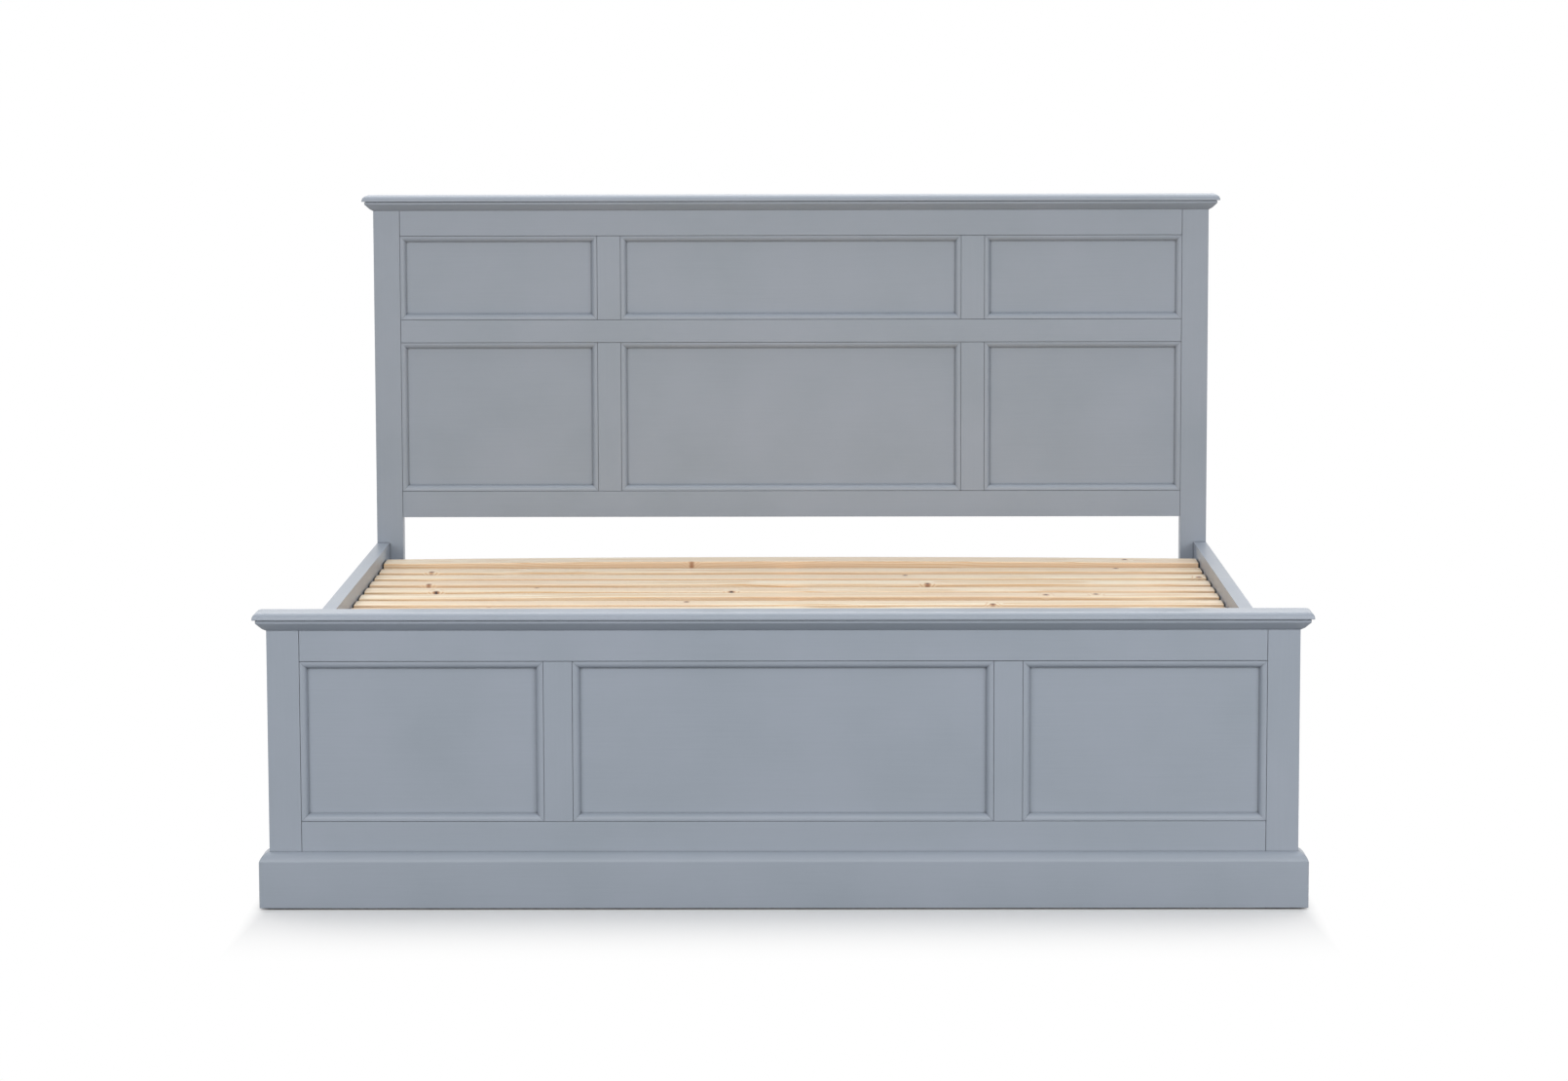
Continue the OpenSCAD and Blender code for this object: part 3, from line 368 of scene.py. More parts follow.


# Planed pine: wide pale rings with thin tan late wood, fine fibre streaks, a few small dark knots, dull, with
# painted shade on the long side faces
def planed_pine(name, vector_attribute=""):
    """Pine whose grain follows the named point attribute, or the y axis of the frame without one."""
    if name in bpy.data.materials:
        return bpy.data.materials[name]
    look = bpy.context.scene.bed_pine
    material, tree, shader = new_material(name)
    if vector_attribute:
        plank = add_node(tree, "Attribute", {"attribute_name": vector_attribute}).outputs["Vector"]
    else:
        turned = {"Location": RAIL_HEART, "Rotation": (0.0, 0.0, math.radians(RAIL_GRAIN))}
        plank = add_node(tree, "Mapping", values=turned,
                         links={"Vector": add_node(tree, "TexCoord").outputs["Object"]})

    # Places of knots, oval across the face: the distance to the nearest, and which of them are real
    oval = add_node(tree, "Mapping", values={"Scale": (1.0, look.knot_oval, 1.0)}, links={"Vector": plank})
    cells = add_node(tree, "TexVoronoi", {"feature": "F1", "voronoi_dimensions": "2D"},
                     {"Scale": 1 / look.knot_pitch, "Randomness": 1.0}, {"Vector": oval})
    distance = add_node(tree, "Math", {"operation": "MULTIPLY"}, {1: look.knot_pitch},
                        {0: cells.outputs["Distance"]})
    lot = add_node(tree, "SeparateColor", links={"Color": cells.outputs["Color"]})
    chosen = add_node(tree, "Math", {"operation": "GREATER_THAN"}, {1: 1 - look.knot_share},
                      {0: lot.outputs["Red"]})
    near = add_node(tree, "MapRange", {"interpolation_type": "SMOOTHERSTEP"},
                    {"From Min": look.knot_reach, "From Max": 0.0, "To Min": 0.0, "To Max": 1.0},
                    {"Value": distance})
    pull = add_node(tree, "Math", {"operation": "MULTIPLY"}, links={0: near, 1: chosen})

    # Growth rings around a wandering heart line
    wave_scale = (1 / look.wave_length, 1 / look.wave_width, 1 / look.wave_width)
    slow = add_node(tree, "Mapping", values={"Scale": wave_scale}, links={"Vector": plank})
    wander = add_node(tree, "TexNoise", values={"Scale": 1.0, "Detail": 2.0}, links={"Vector": slow})
    centred = add_node(tree, "VectorMath", {"operation": "SUBTRACT"}, {1: (0.5, 0.5, 0.5)},
                       {0: wander.outputs["Color"]})
    moved = add_node(tree, "VectorMath", {"operation": "MULTIPLY_ADD"},
                     {1: (0.0, look.heart_across, look.heart_deep)}, {0: centred, 2: plank})
    section = add_node(tree, "VectorMath", {"operation": "MULTIPLY"}, {1: (look.taper, 1.0, 1.0)}, {0: moved})
    radius = add_node(tree, "VectorMath", {"operation": "LENGTH"}, links={0: section})
    rings = add_node(tree, "Math", {"operation": "MULTIPLY"}, {1: 1 / look.ring_width},
                     {0: radius.outputs["Value"]})
    bent = add_node(tree, "Math", {"operation": "MULTIPLY_ADD"}, {1: look.knot_bend}, {0: pull, 2: rings})
    phase = add_node(tree, "Math", {"operation": "FRACT"}, links={0: bent})
    ring_tint = add_node(tree, "ValToRGB", links={"Fac": phase},
                         stops=((0.0, look.early), (0.45, look.early), (0.84, look.late), (0.97, look.early)))

    # Fibre streaks along the plank, and broad pinkish patches
    fibre_scale = (1 / look.fibre_length, 1 / look.fibre_width, 1 / look.fibre_width)
    drawn = add_node(tree, "Mapping", values={"Scale": fibre_scale}, links={"Vector": plank})
    fibres = add_node(tree, "TexNoise", values={"Scale": 1.0, "Detail": 4.0, "Roughness": 0.62},
                      links={"Vector": drawn})
    patches = add_node(tree, "TexNoise", values={"Scale": 1.3, "Detail": 2.0}, links={"Vector": slow})
    patch_mask = add_node(tree, "MapRange", values={"From Min": 0.42, "From Max": 0.68, "To Max": 0.75},
                          links={"Value": patches})
    blushed = add_node(tree, "MixRGB", {"blend_type": "MIX"}, {"Color2": opaque(look.blush)},
                       {"Fac": patch_mask, "Color1": ring_tint})
    fibre_shade = add_node(tree, "MapRange",
                           values={"From Min": 0.25, "From Max": 0.75, "To Min": 0.89, "To Max": 1.05},
                           links={"Value": fibres})
    streaked = add_node(tree, "MixRGB", {"blend_type": "MULTIPLY"}, {"Fac": 1.0},
                        {"Color1": blushed, "Color2": fibre_shade})

    # Knots: a reddish rim, then its dark middle, each fading between two shares of the knot's radius
    knotted = streaked
    for outer, inner, strength, tint in ((2.2, 0.9, 0.85, look.knot_rim), (0.95, 0.55, 0.95, look.knot)):
        disc = add_node(tree, "MapRange", {"interpolation_type": "SMOOTHSTEP"},
                        {"From Min": outer * look.knot_radius, "From Max": inner * look.knot_radius,
                         "To Min": 0.0, "To Max": strength},
                        {"Value": distance})
        real = add_node(tree, "Math", {"operation": "MULTIPLY"}, links={0: disc, 1: chosen})
        knotted = add_node(tree, "MixRGB", values={"Color2": opaque(tint)},
                           links={"Fac": real, "Color1": knotted})

    # Painted shade: faces whose normal runs along y, the long sides of the slats, are tinted darker than the
    # tops
    normal = add_node(tree, "SeparateXYZ", links={"Vector": add_node(tree, "NewGeometry").outputs["Normal"]})
    sideways = add_node(tree, "Math", {"operation": "ABSOLUTE"}, links={0: normal.outputs["Y"]})
    edge = add_node(tree, "MapRange", values={"From Min": 0.5, "From Max": 0.8}, links={"Value": sideways})
    finished = add_node(tree, "MixRGB", {"blend_type": "MULTIPLY"}, {"Color2": opaque(look.painted_side_shade)},
                        {"Fac": edge, "Color1": knotted})

    dullness = add_node(tree, "MapRange",
                        values={"To Min": look.roughness + 0.08, "To Max": look.roughness - 0.06},
                        links={"Value": phase})
    bump = add_node(tree, "Bump", values={"Strength": 0.4, "Distance": look.fibre_depth},
                    links={"Height": fibres})
    connect(shader, {"Base Color": finished, "Roughness": dullness, "Normal": bump})
    return material


# Zinc-plated steel: cold bright metal with cloudy duller patches and fine rolling marks
def zinc_steel():
    """Zinc plating over pressed or turned steel."""
    name = "zinc plated steel"
    if name in bpy.data.materials:
        return bpy.data.materials[name]
    look = bpy.context.scene.bed_fittings
    material, tree, shader = new_material(name)
    coordinates = add_node(tree, "TexCoord").outputs["Object"]
    clouds = add_node(tree, "TexNoise", values={"Scale": 1 / look.zinc_patch, "Detail": 3.0},
                      links={"Vector": coordinates})
    tint = add_node(tree, "ValToRGB", links={"Fac": clouds},
                    stops=((0.35, look.zinc_dull), (0.65, look.zinc)))
    gloss = add_node(tree, "MapRange",
                     values={"To Min": look.zinc_roughness + 0.12, "To Max": look.zinc_roughness - 0.08},
                     links={"Value": clouds})
    marks = add_node(tree, "TexNoise", values={"Scale": 1 / look.mark_size, "Detail": 2.0},
                     links={"Vector": coordinates})
    bump = add_node(tree, "Bump", values={"Strength": 0.25, "Distance": look.mark_depth},
                    links={"Height": marks})
    shader.inputs["Metallic"].default_value = 1.0
    connect(shader, {"Base Color": tint, "Roughness": gloss, "Normal": bump})
    return material


# Moulded nylon: dark, half-matt, with the fine spark-eroded texture of its mould
def moulded_nylon():
    """Glass-filled nylon from a textured mould."""
    name = "moulded nylon"
    if name in bpy.data.materials:
        return bpy.data.materials[name]
    look = bpy.context.scene.bed_fittings
    material, tree, shader = new_material(name)
    coordinates = add_node(tree, "TexCoord").outputs["Object"]
    grit = add_node(tree, "TexNoise", values={"Scale": 1 / look.grit_size, "Detail": 2.0},
                    links={"Vector": coordinates})
    tint = add_node(tree, "MixRGB",
                    values={"Color1": opaque(look.nylon), "Color2": opaque([1.35 * c for c in look.nylon])},
                    links={"Fac": grit})
    bump = add_node(tree, "Bump", values={"Strength": 0.5, "Distance": look.grit_depth},
                    links={"Height": grit})
    shader.inputs["Roughness"].default_value = look.nylon_roughness
    connect(shader, {"Base Color": tint, "Normal": bump})
    return material


# Woven polyester webbing: flat ribs along the strap crossed by the weft, soft and matt, with painted shade
# between the threads
def woven_webbing():
    """Polyester webbing with its ribs along the y axis."""
    name = "woven polyester webbing"
    if name in bpy.data.materials:
        return bpy.data.materials[name]
    look = bpy.context.scene.bed_fittings
    material, tree, shader = new_material(name)
    coordinates = add_node(tree, "TexCoord").outputs["Object"]
    # At a scale of 1 two bands of the wave lie pi / 10 apart
    ribs, weft = (
        add_node(tree, "TexWave", {"bands_direction": axis}, {"Scale": math.pi / (10 * pitch)},
                 {"Vector": coordinates})
        for axis, pitch in (("X", look.weave_pitch), ("Y", look.weft_pitch))
    )
    woven = add_node(tree, "Math", {"operation": "MULTIPLY"},
                     links={0: ribs.outputs["Fac"], 1: weft.outputs["Fac"]})
    # Painted shade: the colour darkens where the weave is low, between the threads
    tint = add_node(tree, "MixRGB",
                    values={"Color1": opaque(look.webbing_painted_shade), "Color2": opaque(look.webbing)},
                    links={"Fac": woven})
    bump = add_node(tree, "Bump", values={"Strength": 0.8, "Distance": look.weave_depth},
                    links={"Height": woven})
    shader.inputs["Roughness"].default_value = look.webbing_roughness
    shader.inputs["Sheen Weight"].default_value = look.webbing_sheen
    connect(shader, {"Base Color": tint, "Normal": bump})
    return material


def merge_faces(piece, slot):
    """Joins a CAD mesh's triangles into flat faces and draws them in by the width of a joint's slot."""
    piece.modifiers.new("join faces", "WELD").merge_threshold = WELD_REACH
    planar = piece.modifiers.new("flat faces", "DECIMATE")
    planar.decimate_type = "DISSOLVE"
    planar.angle_limit = math.radians(FLAT_ANGLE)
    if slot:
        drawn_in = piece.modifiers.new("joint slots", "DISPLACE")
        drawn_in.mid_level = 0.0
        drawn_in.strength = -slot * math.sqrt(3)


def soften(piece, width, segments=3):
    """Eases the piece's sharp edges, keeping its flat faces flat."""
    bevel = piece.modifiers.new("eased edges", "BEVEL")
    bevel.width = width
    bevel.segments = segments
    bevel.limit_method = "ANGLE"
    bevel.angle_limit = math.radians(SHARP_ANGLE)
    bevel.use_clamp_overlap = True
    bevel.miter_outer = "MITER_ARC"
    normals = piece.modifiers.new("flat shading", "WEIGHTED_NORMAL")
    normals.keep_sharp = False


def dress(node_name, material, arris=0.0, segments=3, slot=0.0):
    """Gives a CAD node its finish and eased edges, and opens a slot where boards meet."""
    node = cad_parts[node_name]
    for material_slot in node.material_slots:
        material_slot.material = material
    node.data.shade_smooth()
    if arris:
        merge_faces(node, slot)
        soften(node, arris, segments)


def join_parts(parts):
    """Points and faces of several parts as one list of each."""
    points, faces = [], []
    for part_points, part_faces in parts:
        start = len(points)
        points += part_points
        faces += [[start + i for i in face] for face in part_faces]
    return points, faces


def new_piece(name, parts, material, body, nodes=(), sharp=SHARP_ANGLE):
    """A mesh piece of several parts that rides on a body and stands for CAD nodes."""
    points, faces = join_parts(parts)
    mesh = bpy.data.meshes.new(name)
    mesh.from_pydata([tuple(p) for p in points], [], faces)
    mesh.update()
    mesh.shade_smooth()
    mesh.set_sharp_from_angle(angle=math.radians(sharp))
    mesh.materials.append(material)
    piece = bpy.data.objects.new(name, mesh)
    bpy.context.scene.collection.objects.link(piece)
    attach(piece, body)
    if nodes:
        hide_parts(*nodes)
    return piece


def moulded_piece(name, parts, arris):
    """A painted moulding with eased edges that stands for the CAD node of its name."""
    piece = new_piece(name + "_moulded", parts, satin_paint("x"), "frame", [name])
    soften(piece, arris, 2)


def arc(centre, radius, first, last, steps):
    """Points on an arc, with angles in degrees from the first axis to the second."""
    turns = [math.radians(first + (last - first) * k / steps) for k in range(steps + 1)]
    return [(centre[0] + radius * math.cos(a), centre[1] + radius * math.sin(a)) for a in turns]


def skin(rings):
    """Faces around and between closed rings of equally many points, with both ends closed."""
    count = len(rings[0])
    points = [p for ring in rings for p in ring]
    faces = []
    for k in range(len(rings) - 1):
        for i in range(count):
            j = (i + 1) % count
            faces.append([k * count + i, k * count + j, (k + 1) * count + j, (k + 1) * count + i])
    faces.append(list(range(count))[::-1])
    faces.append([(len(rings) - 1) * count + i for i in range(count)])
    return points, faces


def moulding_run(section, start, end, across, rise, mitres, gap):
    """A straight run of a section from start to end. A mitre of 1 cuts the end inwards, -1 outwards."""
    start, end, across, rise = Vector(start), Vector(end), Vector(across), Vector(rise)
    along = (end - start).normalized()
    first = [start + across * a + rise * b + along * (mitres[0] * a + abs(mitres[0]) * gap)
             for a, b in section]
    last = [end + across * a + rise * b - along * (mitres[1] * a + abs(mitres[1]) * gap)
            for a, b in section]
    return skin([first, last])


def openings(row):
    """The three openings of a row as (left, bottom, right, top)."""
    _, lower, upper, muntins, _ = row
    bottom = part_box(lower)[1][2]
    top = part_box(upper)[0][2]
    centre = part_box(muntins)[1][0]
    edges = (-HALF_W + POST_W, -centre, -INNER_MUNTIN, INNER_MUNTIN, centre, HALF_W - POST_W)
    return [(edges[2 * k], bottom, edges[2 * k + 1], top) for k in range(3)]


class BED_OT_boards(bpy.types.Operator):
    """Paint the posts, rails, muntins and panels of both boards"""
    bl_idname = "bed.boards"
    bl_label = "Boards"

    def execute(self, context):
        sizes = context.scene.bed_boards
        for names, direction in ((ALONG_X, "x"), (ALONG_Z, "z")):
            for name in names:
                slot = 0.0 if name.endswith("panels") else sizes.joint_slot
                dress(name, satin_paint(direction), sizes.arris, slot=slot)
        return {"FINISHED"}


class BED_OT_side_rails(bpy.types.Operator):
    """Paint the side rails and the ledges inside them"""
    bl_idname = "bed.side_rails"
    bl_label = "Side rails"

    def execute(self, context):
        for name in ALONG_Y:
            dress(name, satin_paint("y"), context.scene.bed_boards.arris)
        return {"FINISHED"}


class BED_OT_cap_boards(bpy.types.Operator):
    """Build the cap board of each board, rounded along its front and both ends"""
    bl_idname = "bed.cap_boards"
    bl_label = "Cap boards"

    def outline(self, low, high, tip):
        """A rectangle with rounded corners, from above."""
        corners = (((low[0] + tip, low[1] + tip), 180), ((high[0] - tip, low[1] + tip), 270),
                   ((high[0] - tip, high[1] - tip), 0), ((low[0] + tip, high[1] - tip), 90))
        return [p for centre, turn in corners for p in arc(centre, tip, turn, turn + 90, steps=4)]

    def levels(self, sizes, thickness):
        """How far the board draws in at its front and ends, the height of that, and how far at its back."""
        ease = sizes.fine_arris
        levels = [(ease, 0.0, ease), (0.3 * ease, 0.3 * ease, 0.3 * ease), (0.0, ease, 0.0)]
        steps = 10
        for k in range(steps + 1):
            turn = math.radians(90 * k / steps)
            height = thickness - sizes.cap_radius * (1 - math.sin(turn))
            drop = max(0.0, height - thickness + sizes.cap_back_radius)
            back = sizes.cap_back_radius - math.sqrt(sizes.cap_back_radius ** 2 - drop ** 2)
            levels.append((sizes.cap_radius * (1 - math.cos(turn)), height, back))
        return levels

    def execute(self, context):
        sizes = context.scene.bed_boards
        for name in ("head_cap_board", "foot_cap_board"):
            low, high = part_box(name)
            rings = []
            for inset, height, back in self.levels(sizes, high[2] - low[2]):
                corner_low = (low[0] + inset, low[1] + inset)
                corner_high = (high[0] - inset, high[1] - back)
                outline = self.outline(corner_low, corner_high, sizes.cap_tip_radius)
                rings.append([(x, y, low[2] + height) for x, y in outline])
            new_piece(name + "_moulded", [skin(rings)], satin_paint("x"), "frame", [name])
        return {"FINISHED"}


class BED_OT_cornices(bpy.types.Operator):
    """Build the cornice under each cap: a front run and two returns, mitred at the corners"""
    bl_idname = "bed.cornices"
    bl_label = "Cornices"

    def section(self, sizes, projection, height):
        """The cornice's section as (projection, height) points: a shadow line, a lip, a slope and a turn."""
        quirk_x = projection - sizes.cornice_quirk_depth
        quirk_z = height - sizes.cornice_quirk
        return [(0.0, 0.0), (0.0, height), (quirk_x, height), (quirk_x, quirk_z), (projection, quirk_z),
                (projection, height - sizes.cornice_lip), (sizes.cornice_foot, sizes.cornice_turn)]

    def execute(self, context):
        sizes = context.scene.bed_boards
        for name, front in (("head_cornice", HEAD_Y), ("foot_cornice", FOOT_Y)):
            low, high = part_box(name)
            section = self.section(sizes, front - low[1], high[2] - low[2])
            moulded_piece(name, runs_around(section, front, low[2], sizes.mitre_gap), sizes.fine_arris)
        return {"FINISHED"}


def runs_around(section, front, bottom, gap):
    """A section run across the front of the posts and back along the outer side of each."""
    back = front + POST_D
    left, left_back = (-HALF_W, front, bottom), (-HALF_W, back, bottom)
    right, right_back = (HALF_W, front, bottom), (HALF_W, back, bottom)
    runs = (
        (left, right, (0, -1, 0), (-1, -1)),
        (left_back, left, (-1, 0, 0), (0, -1)),
        (right, right_back, (1, 0, 0), (-1, 0)),
    )
    return [moulding_run(section, start, end, outward, (0, 0, 1), mitres, gap)
            for start, end, outward, mitres in runs]


class BED_OT_plinth(bpy.types.Operator):
    """Build the footboard's plinth with its rounded top edge and mitred returns"""
    bl_idname = "bed.plinth"
    bl_label = "Plinth"

    def section(self, sizes, projection, height):
        """The plinth's section, with a shallow arc from the face of the board down to its front."""
        fall, radius = sizes.plinth_fall, sizes.plinth_radius
        chord = math.hypot(projection, fall)
        inset = math.sqrt(radius ** 2 - (chord / 2) ** 2) / chord
        centre = (projection / 2 - fall * inset, height - fall / 2 - projection * inset)
        first = math.degrees(math.atan2(height - centre[1], -centre[0]))
        last = math.degrees(math.atan2(height - fall - centre[1], projection - centre[0]))
        return [(0.0, 0.0)] + arc(centre, radius, first, last, steps=12) + [(projection, 0.0)]

    def execute(self, context):
        sizes = context.scene.bed_boards
        low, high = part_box("foot_plinth")
        section = self.section(sizes, FOOT_Y - low[1], high[2] - low[2])
        runs = runs_around(section, FOOT_Y, low[2], sizes.mitre_gap)
        moulded_piece("foot_plinth", runs, 2 * sizes.fine_arris)
        return {"FINISHED"}


class BED_OT_beads(bpy.types.Operator):
    """Build the four mitred beads around each panel"""
    bl_idname = "bed.beads"
    bl_label = "Beads"

    def execute(self, context):
        sizes = context.scene.bed_boards
        for row in ROWS:
            name, front = row[0] + "_beads", row[4]
            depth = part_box(name)[1][1] - front
            round_x = sizes.bead_width - sizes.bead_radius - sizes.bead_foot
            foot_y = sizes.bead_set + sizes.bead_radius
            curve = arc((round_x, foot_y), sizes.bead_radius, -90, 0, steps=8)
            section = [(0.0, sizes.bead_set)] + curve
            section += [(sizes.bead_width, foot_y), (sizes.bead_width, depth), (0.0, depth)]
            parts = []
            for left, bottom, right, top in openings(row):
                gap = sizes.bead_gap
                left, bottom, right, top = left + gap, bottom + gap, right - gap, top - gap
                corners = [(left, front, bottom), (right, front, bottom),
                           (right, front, top), (left, front, top)]
                ways = ((0, 0, 1), (-1, 0, 0), (0, 0, -1), (1, 0, 0))
                parts += [moulding_run(section, start, end, inward, (0, 1, 0), (1, 1), sizes.mitre_gap)
                          for start, end, inward in zip(corners, corners[1:] + corners[:1], ways)]
            moulded_piece(name, parts, 0.6 * sizes.fine_arris)
        return {"FINISHED"}


class BED_OT_slats(bpy.types.Operator):
    """Build the pine slats, each with its own grain, bow and small wander"""
    bl_idname = "bed.slats"
    bl_label = "Slats"

    def section(self, width, thickness, radius):
        """A slat's section with rounded long edges, as (across, up) from its underside's middle."""
        half = width / 2
        corners = (((half - radius, radius), 270), ((half - radius, thickness - radius), 0),
                   ((radius - half, thickness - radius), 90), ((radius - half, radius), 180))
        points = [p for centre, turn in corners for p in arc(centre, radius, turn, turn + 90, steps=3)]
        across_top = [(half - radius - (width - 2 * radius) * k / 6, thickness) for k in range(1, 6)]
        return points[:8] + across_top + points[8:]

    def bow(self, sizes, index):
        """Rise of a slat at its middle: most on the last, a share of that on every second of the others."""
        if index == len(SLATS) - 1:
            return sizes.bow
        if index % 2:
            return sizes.bow * (BOW_SHARE + BOW_SWING * math.sin(math.radians(BOW_STEP * index)))
        return 0.0

    def execute(self, context):
        sizes = context.scene.bed_slats
        half_l = SIDE_IN - sizes.end_gap
        sections = 48
        for index, name in enumerate(SLATS):
            low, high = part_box(name)
            chance = random.Random(SLAT_SEED + index)
            bow = self.bow(sizes, index)
            turn = math.radians(sizes.yaw * math.sin(math.radians(TURN_STEP * index + TURN_START)))
            width = (high[1] - low[1] - 2 * half_l * abs(math.sin(turn))) / math.cos(turn)
            thickness = high[2] - low[2] - bow
            middle = (low[1] + high[1]) / 2
            outline = self.section(width, thickness, sizes.edge_radius)
            swing = chance.uniform(-1, 1) * sizes.wander
            phase = chance.uniform(0, 2 * math.pi)
            heart = (chance.uniform(0, LOG_ALONG), chance.uniform(-LOG_ACROSS, LOG_ACROSS),
                     chance.choice((-1, 1)) * chance.uniform(*LOG_DEPTH))
            rings, planks = [], []
            for k in range(sections + 1):
                along = -half_l + 2 * half_l * k / sections
                drift = swing * math.sin(WANDER_TURN * along / half_l + phase)
                rise = bow * (1 - (along / half_l) ** 2)
                ring = []
                for across, up in outline:
                    cup = sizes.cup * (1 - (2 * across / width) ** 2) if up > thickness / 2 else 0.0
                    x = along * math.cos(turn) - across * math.sin(turn)
                    y = middle + along * math.sin(turn) + across * math.cos(turn) + drift
                    ring.append((x, y, low[2] + rise + up - sizes.cup + cup))
                    planks.append((along + heart[0], across + heart[1], up + heart[2]))
                rings.append(ring)
            piece = new_piece(name + "_planed", [skin(rings)], planed_pine("planed pine", "plank"),
                              "slat_deck", [name], sharp=50.0)
            plank = piece.data.attributes.new("plank", "FLOAT_VECTOR", "POINT")
            plank.data.foreach_set("vector", [c for p in planks for c in p])
        return {"FINISHED"}


class BED_OT_straps(bpy.types.Operator):
    """Build the two webbing straps and the staples that hold them to each slat"""
    bl_idname = "bed.straps"
    bl_label = "Straps"

    def execute(self, context):
        sizes = context.scene.bed_slats
        strap_x = SIDE_IN - sizes.end_gap - sizes.strap_in
        boxes = [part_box(name) for name in SLATS]
        undersides = [(low[1], high[1], low[2]) for low, high in boxes]
        straps, staples = [], []
        for side in (-1, 1):
            path = []
            for k, (front, back, under) in enumerate(undersides):
                top = under - sizes.strap_gap
                path += [(front + sizes.strap_inset, top), (back - sizes.strap_inset, top)]
                if k < len(undersides) - 1:
                    gap_end = undersides[k + 1][0]
                    for share in (0.25, 0.5, 0.75):
                        sag = sizes.strap_sag * 4 * share * (1 - share)
                        path.append((back + (gap_end - back) * share, top - sag))
                for share in (0.3, 0.7):
                    staples.append(self.staple(side * strap_x, front + share * (back - front),
                                               under - sizes.strap_thickness, sizes))
            straps.append(self.ribbon(path, side * strap_x, sizes))
        new_piece("slat_straps_woven", straps, woven_webbing(), "slat_deck", ["slat_straps"])
        new_piece("strap_staples", staples, zinc_steel(), "slat_deck")
        return {"FINISHED"}

    def ribbon(self, path, centre, sizes):
        """A strap of even thickness under a path of (y, z) points."""
        half = sizes.strap_width / 2
        edge = sizes.strap_thickness / 2
        shape = ((-half, -edge), (edge - half, 0.0), (half - edge, 0.0), (half, -edge),
                 (half - edge, -2 * edge), (edge - half, -2 * edge))
        return skin([[(centre + x, y, z + drop) for x, drop in shape] for y, z in path])

    def staple(self, x, y, z, sizes):
        """The crown of a staple across the strap, with its two ends bent up."""
        rings = []
        for share, lift in ((-0.5, sizes.staple_bend), (-0.42, 0.0), (0.42, 0.0), (0.5, sizes.staple_bend)):
            rings.append([(x + sizes.staple_crown * share, y + a, z - sizes.staple_drop + b + lift)
                          for a, b in arc((0, 0), sizes.staple_wire, 0, 315, steps=7)])
        return skin(rings)


class BED_OT_centre_support(bpy.types.Operator):
    """Finish the pine centre rail and its legs"""
    bl_idname = "bed.centre_support"
    bl_label = "Centre support"

    def execute(self, context):
        for name in ("centre_rail", "centre_legs"):
            dress(name, planed_pine("planed pine along the bed"), context.scene.bed_boards.arris)
        return {"FINISHED"}


class BED_OT_fittings(bpy.types.Operator):
    """Finish the steel hangers, brackets, bolts, inserts and screws"""
    bl_idname = "bed.fittings"
    bl_label = "Fittings"

    def execute(self, context):
        look = context.scene.bed_fittings
        for names, edge in ((("centre_rail_hangers", "corner_brackets"), look.pressed_edge),
                            (("leg_bolts", "bracket_bolts"), look.turned_edge),
                            (("threaded_inserts", "wood_screws"), 0.0)):
            for name in names:
                dress(name, zinc_steel(), edge, 2)
        return {"FINISHED"}


class BED_OT_levelling_feet(bpy.types.Operator):
    """Build the threaded stems and finish the pads of the levelling feet"""
    bl_idname = "bed.levelling_feet"
    bl_label = "Levelling feet"

    def thread(self, look, radius, bottom, top, centre_y):
        """A rod with a helical ridge: each ring follows the helix by its angle."""
        around = 24
        per_turn = 8
        rings = []
        count = int((top - bottom) / look.thread_pitch * per_turn)
        for k in range(count + 1):
            z = bottom + (top - bottom) * k / count
            ring = []
            for i in range(around):
                turn = 2 * math.pi * i / around
                lead = (z / look.thread_pitch - i / around) % 1.0
                ridge = abs(2 * lead - 1)
                fade = min(1.0, (z - bottom) / look.thread_pitch, (top - z) / look.thread_pitch)
                r = radius - look.thread_depth * ridge * fade
                if k in (0, count):
                    r = radius - look.thread_depth
                ring.append((r * math.cos(turn), centre_y + r * math.sin(turn), z))
            rings.append(ring)
        return skin(rings)

    def hexagon(self, low, high, radius, chamfer, centre_y):
        """A hexagonal nut body with chamfered corners."""
        levels = ((low, radius - chamfer), (low + 0.5 * chamfer, radius), (high - 0.5 * chamfer, radius),
                  (high, radius - chamfer))
        return skin([[(r * math.cos(math.radians(60 * i)), centre_y + r * math.sin(math.radians(60 * i)), z)
                      for i in range(6)] for z, r in levels])

    def execute(self, context):
        look = context.scene.bed_fittings
        for end, centre_y in zip(("front", "rear"), LEG_YS):
            stem = "levelling_stem_" + end
            low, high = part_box(stem)
            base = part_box("levelling_pad_" + end)[1][2] + look.hexagon_gap
            parts = [self.thread(look, look.stem_radius, low[2], high[2], centre_y),
                     self.hexagon(base, base + look.hexagon_height, high[0], look.hexagon_chamfer, centre_y)]
            new_piece(stem + "_threaded", parts, zinc_steel(), stem, [stem], sharp=40.0)
            dress("levelling_pad_" + end, moulded_nylon(), look.pressed_edge)
        return {"FINISHED"}


class BED_OT_floor_glides(bpy.types.Operator):
    """Finish the nylon glides under the posts"""
    bl_idname = "bed.floor_glides"
    bl_label = "Floor glides"

    def execute(self, context):
        dress("floor_glides", moulded_nylon(), context.scene.bed_fittings.glide_edge, 2)
        return {"FINISHED"}


def seen_or_mirrored(tree):
    """One for rays that show the surroundings straight or in a reflection, nought for lighting rays."""
    path = add_node(tree, "LightPath")
    shown = path.outputs["Is Camera Ray"]
    for kind in ("Is Glossy Ray", "Is Transmission Ray"):
        shown = add_node(tree, "Math", {"operation": "MAXIMUM"}, links={0: shown, 1: path.outputs[kind]})
    return shown


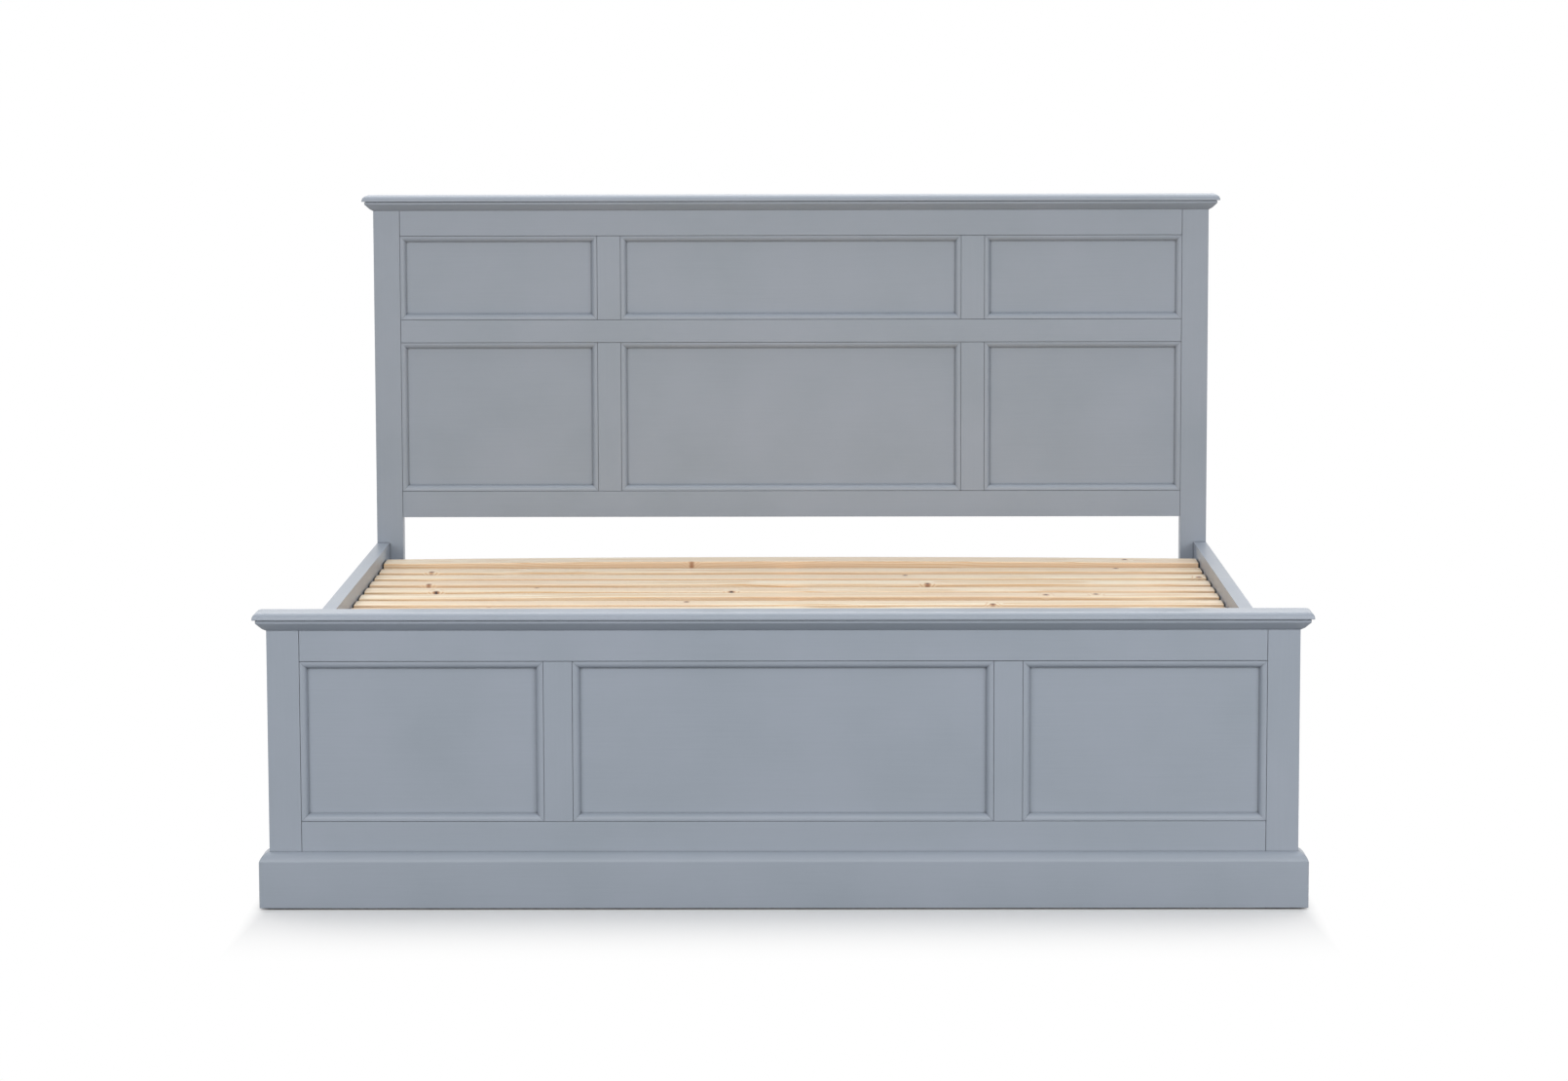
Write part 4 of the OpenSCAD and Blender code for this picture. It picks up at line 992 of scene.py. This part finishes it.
class BED_OT_stage(bpy.types.Operator):
    """Set the pale floor, the soft lights and the camera"""
    bl_idname = "bed.stage"
    bl_label = "Stage"

    def floor_material(self, look):
        """Pale matt floor that takes the shadow near the bed and turns plain white further off."""
        material = bpy.data.materials.new("plain pale floor")
        material.use_nodes = True
        tree = material.node_tree
        tree.nodes.clear()
        place = add_node(tree, "SeparateXYZ", links={"Vector": add_node(tree, "TexCoord").outputs["Object"]})
        beyond = []
        for axis, edge, reach in (("X", HALF_W, look.side_reach), ("Y", -FOOT_Y, look.front_reach)):
            size = add_node(tree, "Math", {"operation": "ABSOLUTE"}, links={0: place.outputs[axis]})
            beyond.append(add_node(tree, "MapRange", {"interpolation_type": "SMOOTHSTEP"},
                                   {"From Min": edge, "From Max": edge + reach}, {"Value": size}))
        white = add_node(tree, "Math", {"operation": "MAXIMUM"}, links={0: beyond[0], 1: beyond[1]})
        matt = add_node(tree, "BsdfDiffuse", values={"Color": opaque(look.floor)})
        plain = add_node(tree, "Emission", values={"Strength": 1.0})
        seen = add_node(tree, "MixShader", links={"Fac": white, 1: matt, 2: plain})
        bounce = add_node(tree, "BsdfDiffuse", values={"Color": opaque(look.floor_bounce)})
        mixed = add_node(tree, "MixShader", links={"Fac": seen_or_mirrored(tree), 1: bounce, 2: seen})
        add_node(tree, "OutputMaterial", links={"Surface": mixed})
        return material

    def world(self, context, look):
        """Even pale light from all round; white where it is seen straight or mirrored."""
        world = bpy.data.worlds.new("studio")
        world.use_nodes = True
        context.scene.world = world
        tree = world.node_tree
        tree.nodes.clear()
        pale = opaque(linear("FFFFFF"))
        even = add_node(tree, "Background", values={"Color": pale, "Strength": look.ambient})
        white = add_node(tree, "Background", values={"Color": pale, "Strength": 1.0})
        mixed = add_node(tree, "MixShader", links={"Fac": seen_or_mirrored(tree), 1: even, 2: white})
        add_node(tree, "OutputWorld", links={"Surface": mixed})

    def soft_light(self, context, name, power, size, place, target):
        """A square soft light that faces a point."""
        light = bpy.data.lights.new(name, "AREA")
        light.energy = power
        light.size = size
        lamp = bpy.data.objects.new(name, light)
        lamp.location = place
        lamp.rotation_euler = (Vector(target) - Vector(place)).to_track_quat("-Z", "Y").to_euler()
        context.scene.collection.objects.link(lamp)

    def camera(self, context, look):
        """The camera of the photograph, from its place and its yaw, pitch and roll."""
        yaw, pitch, roll = (math.radians(turn) for turn in CAMERA_TURNS)
        data = bpy.data.cameras.new("photograph")
        data.sensor_width = SENSOR_WIDTH
        data.lens = FOCAL_PIXELS / look.image_width * SENSOR_WIDTH
        data.clip_end = VIEW_LIMIT
        camera = bpy.data.objects.new("photograph", data)
        turn = Matrix.Rotation(yaw, 4, "Z") @ Matrix.Rotation(math.pi / 2 - pitch, 4, "X")
        camera.matrix_world = Matrix.Translation(CAMERA_PLACE) @ turn @ Matrix.Rotation(roll, 4, "Z")
        context.scene.collection.objects.link(camera)
        context.scene.camera = camera

    def execute(self, context):
        look = context.scene.bed_stage
        mesh = bpy.data.meshes.new("floor")
        corners = [(FLOOR_EXTENT * x, FLOOR_EXTENT * y, 0) for x, y in ((-1, -1), (1, -1), (1, 1), (-1, 1))]
        mesh.from_pydata(corners, [], [(0, 1, 2, 3)])
        mesh.materials.append(self.floor_material(look))
        floor = bpy.data.objects.new("floor", mesh)
        floor.location.z = -FLOOR_DROP
        context.scene.collection.objects.link(floor)
        self.world(context, look)
        for name, size, place, target in LAMPS:
            self.soft_light(context, name.replace("_", " "), getattr(look, name), size, place, target)
        self.camera(context, look)
        context.scene.view_settings.view_transform = "Standard"
        return {"FINISHED"}


class BED_PT_panel(bpy.types.Panel):
    """Lists the pieces of the bed frame and their settings"""
    bl_label = "Panelled bed frame"
    bl_idname = "BED_PT_panel"
    bl_space_type = "VIEW_3D"
    bl_region_type = "UI"
    bl_category = "Bed"

    def draw(self, context):
        for step in STEPS:
            self.layout.operator(step.bl_idname)
        for name in GROUPS:
            group = getattr(context.scene, name)
            box = self.layout.box()
            for key in group.bl_rna.properties.keys():
                if key not in ("rna_type", "name"):
                    box.prop(group, key)


GROUPS = {
    "bed_boards": BoardSizes,
    "bed_slats": SlatSizes,
    "bed_paint": PaintLook,
    "bed_pine": PineLook,
    "bed_fittings": FittingLook,
    "bed_stage": StageLook,
}
STEPS = (
    BED_OT_boards, BED_OT_side_rails, BED_OT_cap_boards, BED_OT_cornices, BED_OT_plinth, BED_OT_beads,
    BED_OT_slats, BED_OT_straps, BED_OT_centre_support, BED_OT_fittings, BED_OT_levelling_feet,
    BED_OT_floor_glides, BED_OT_stage,
)


def register():
    """Registers the settings, the operators and the panel."""
    for name, group in GROUPS.items():
        bpy.utils.register_class(group)
        setattr(bpy.types.Scene, name, PointerProperty(type=group))
    for step in STEPS:
        bpy.utils.register_class(step)
    bpy.utils.register_class(BED_PT_panel)


def unregister():
    """Removes what register added."""
    bpy.utils.unregister_class(BED_PT_panel)
    for step in reversed(STEPS):
        bpy.utils.unregister_class(step)
    for name, group in GROUPS.items():
        delattr(bpy.types.Scene, name)
        bpy.utils.unregister_class(group)


def main():
    """Builds the whole bed frame and its stage."""
    register()
    for step in STEPS:
        family, action = step.bl_idname.split(".")
        getattr(getattr(bpy.ops, family), action)()


if __name__ == "__main__":
    main()
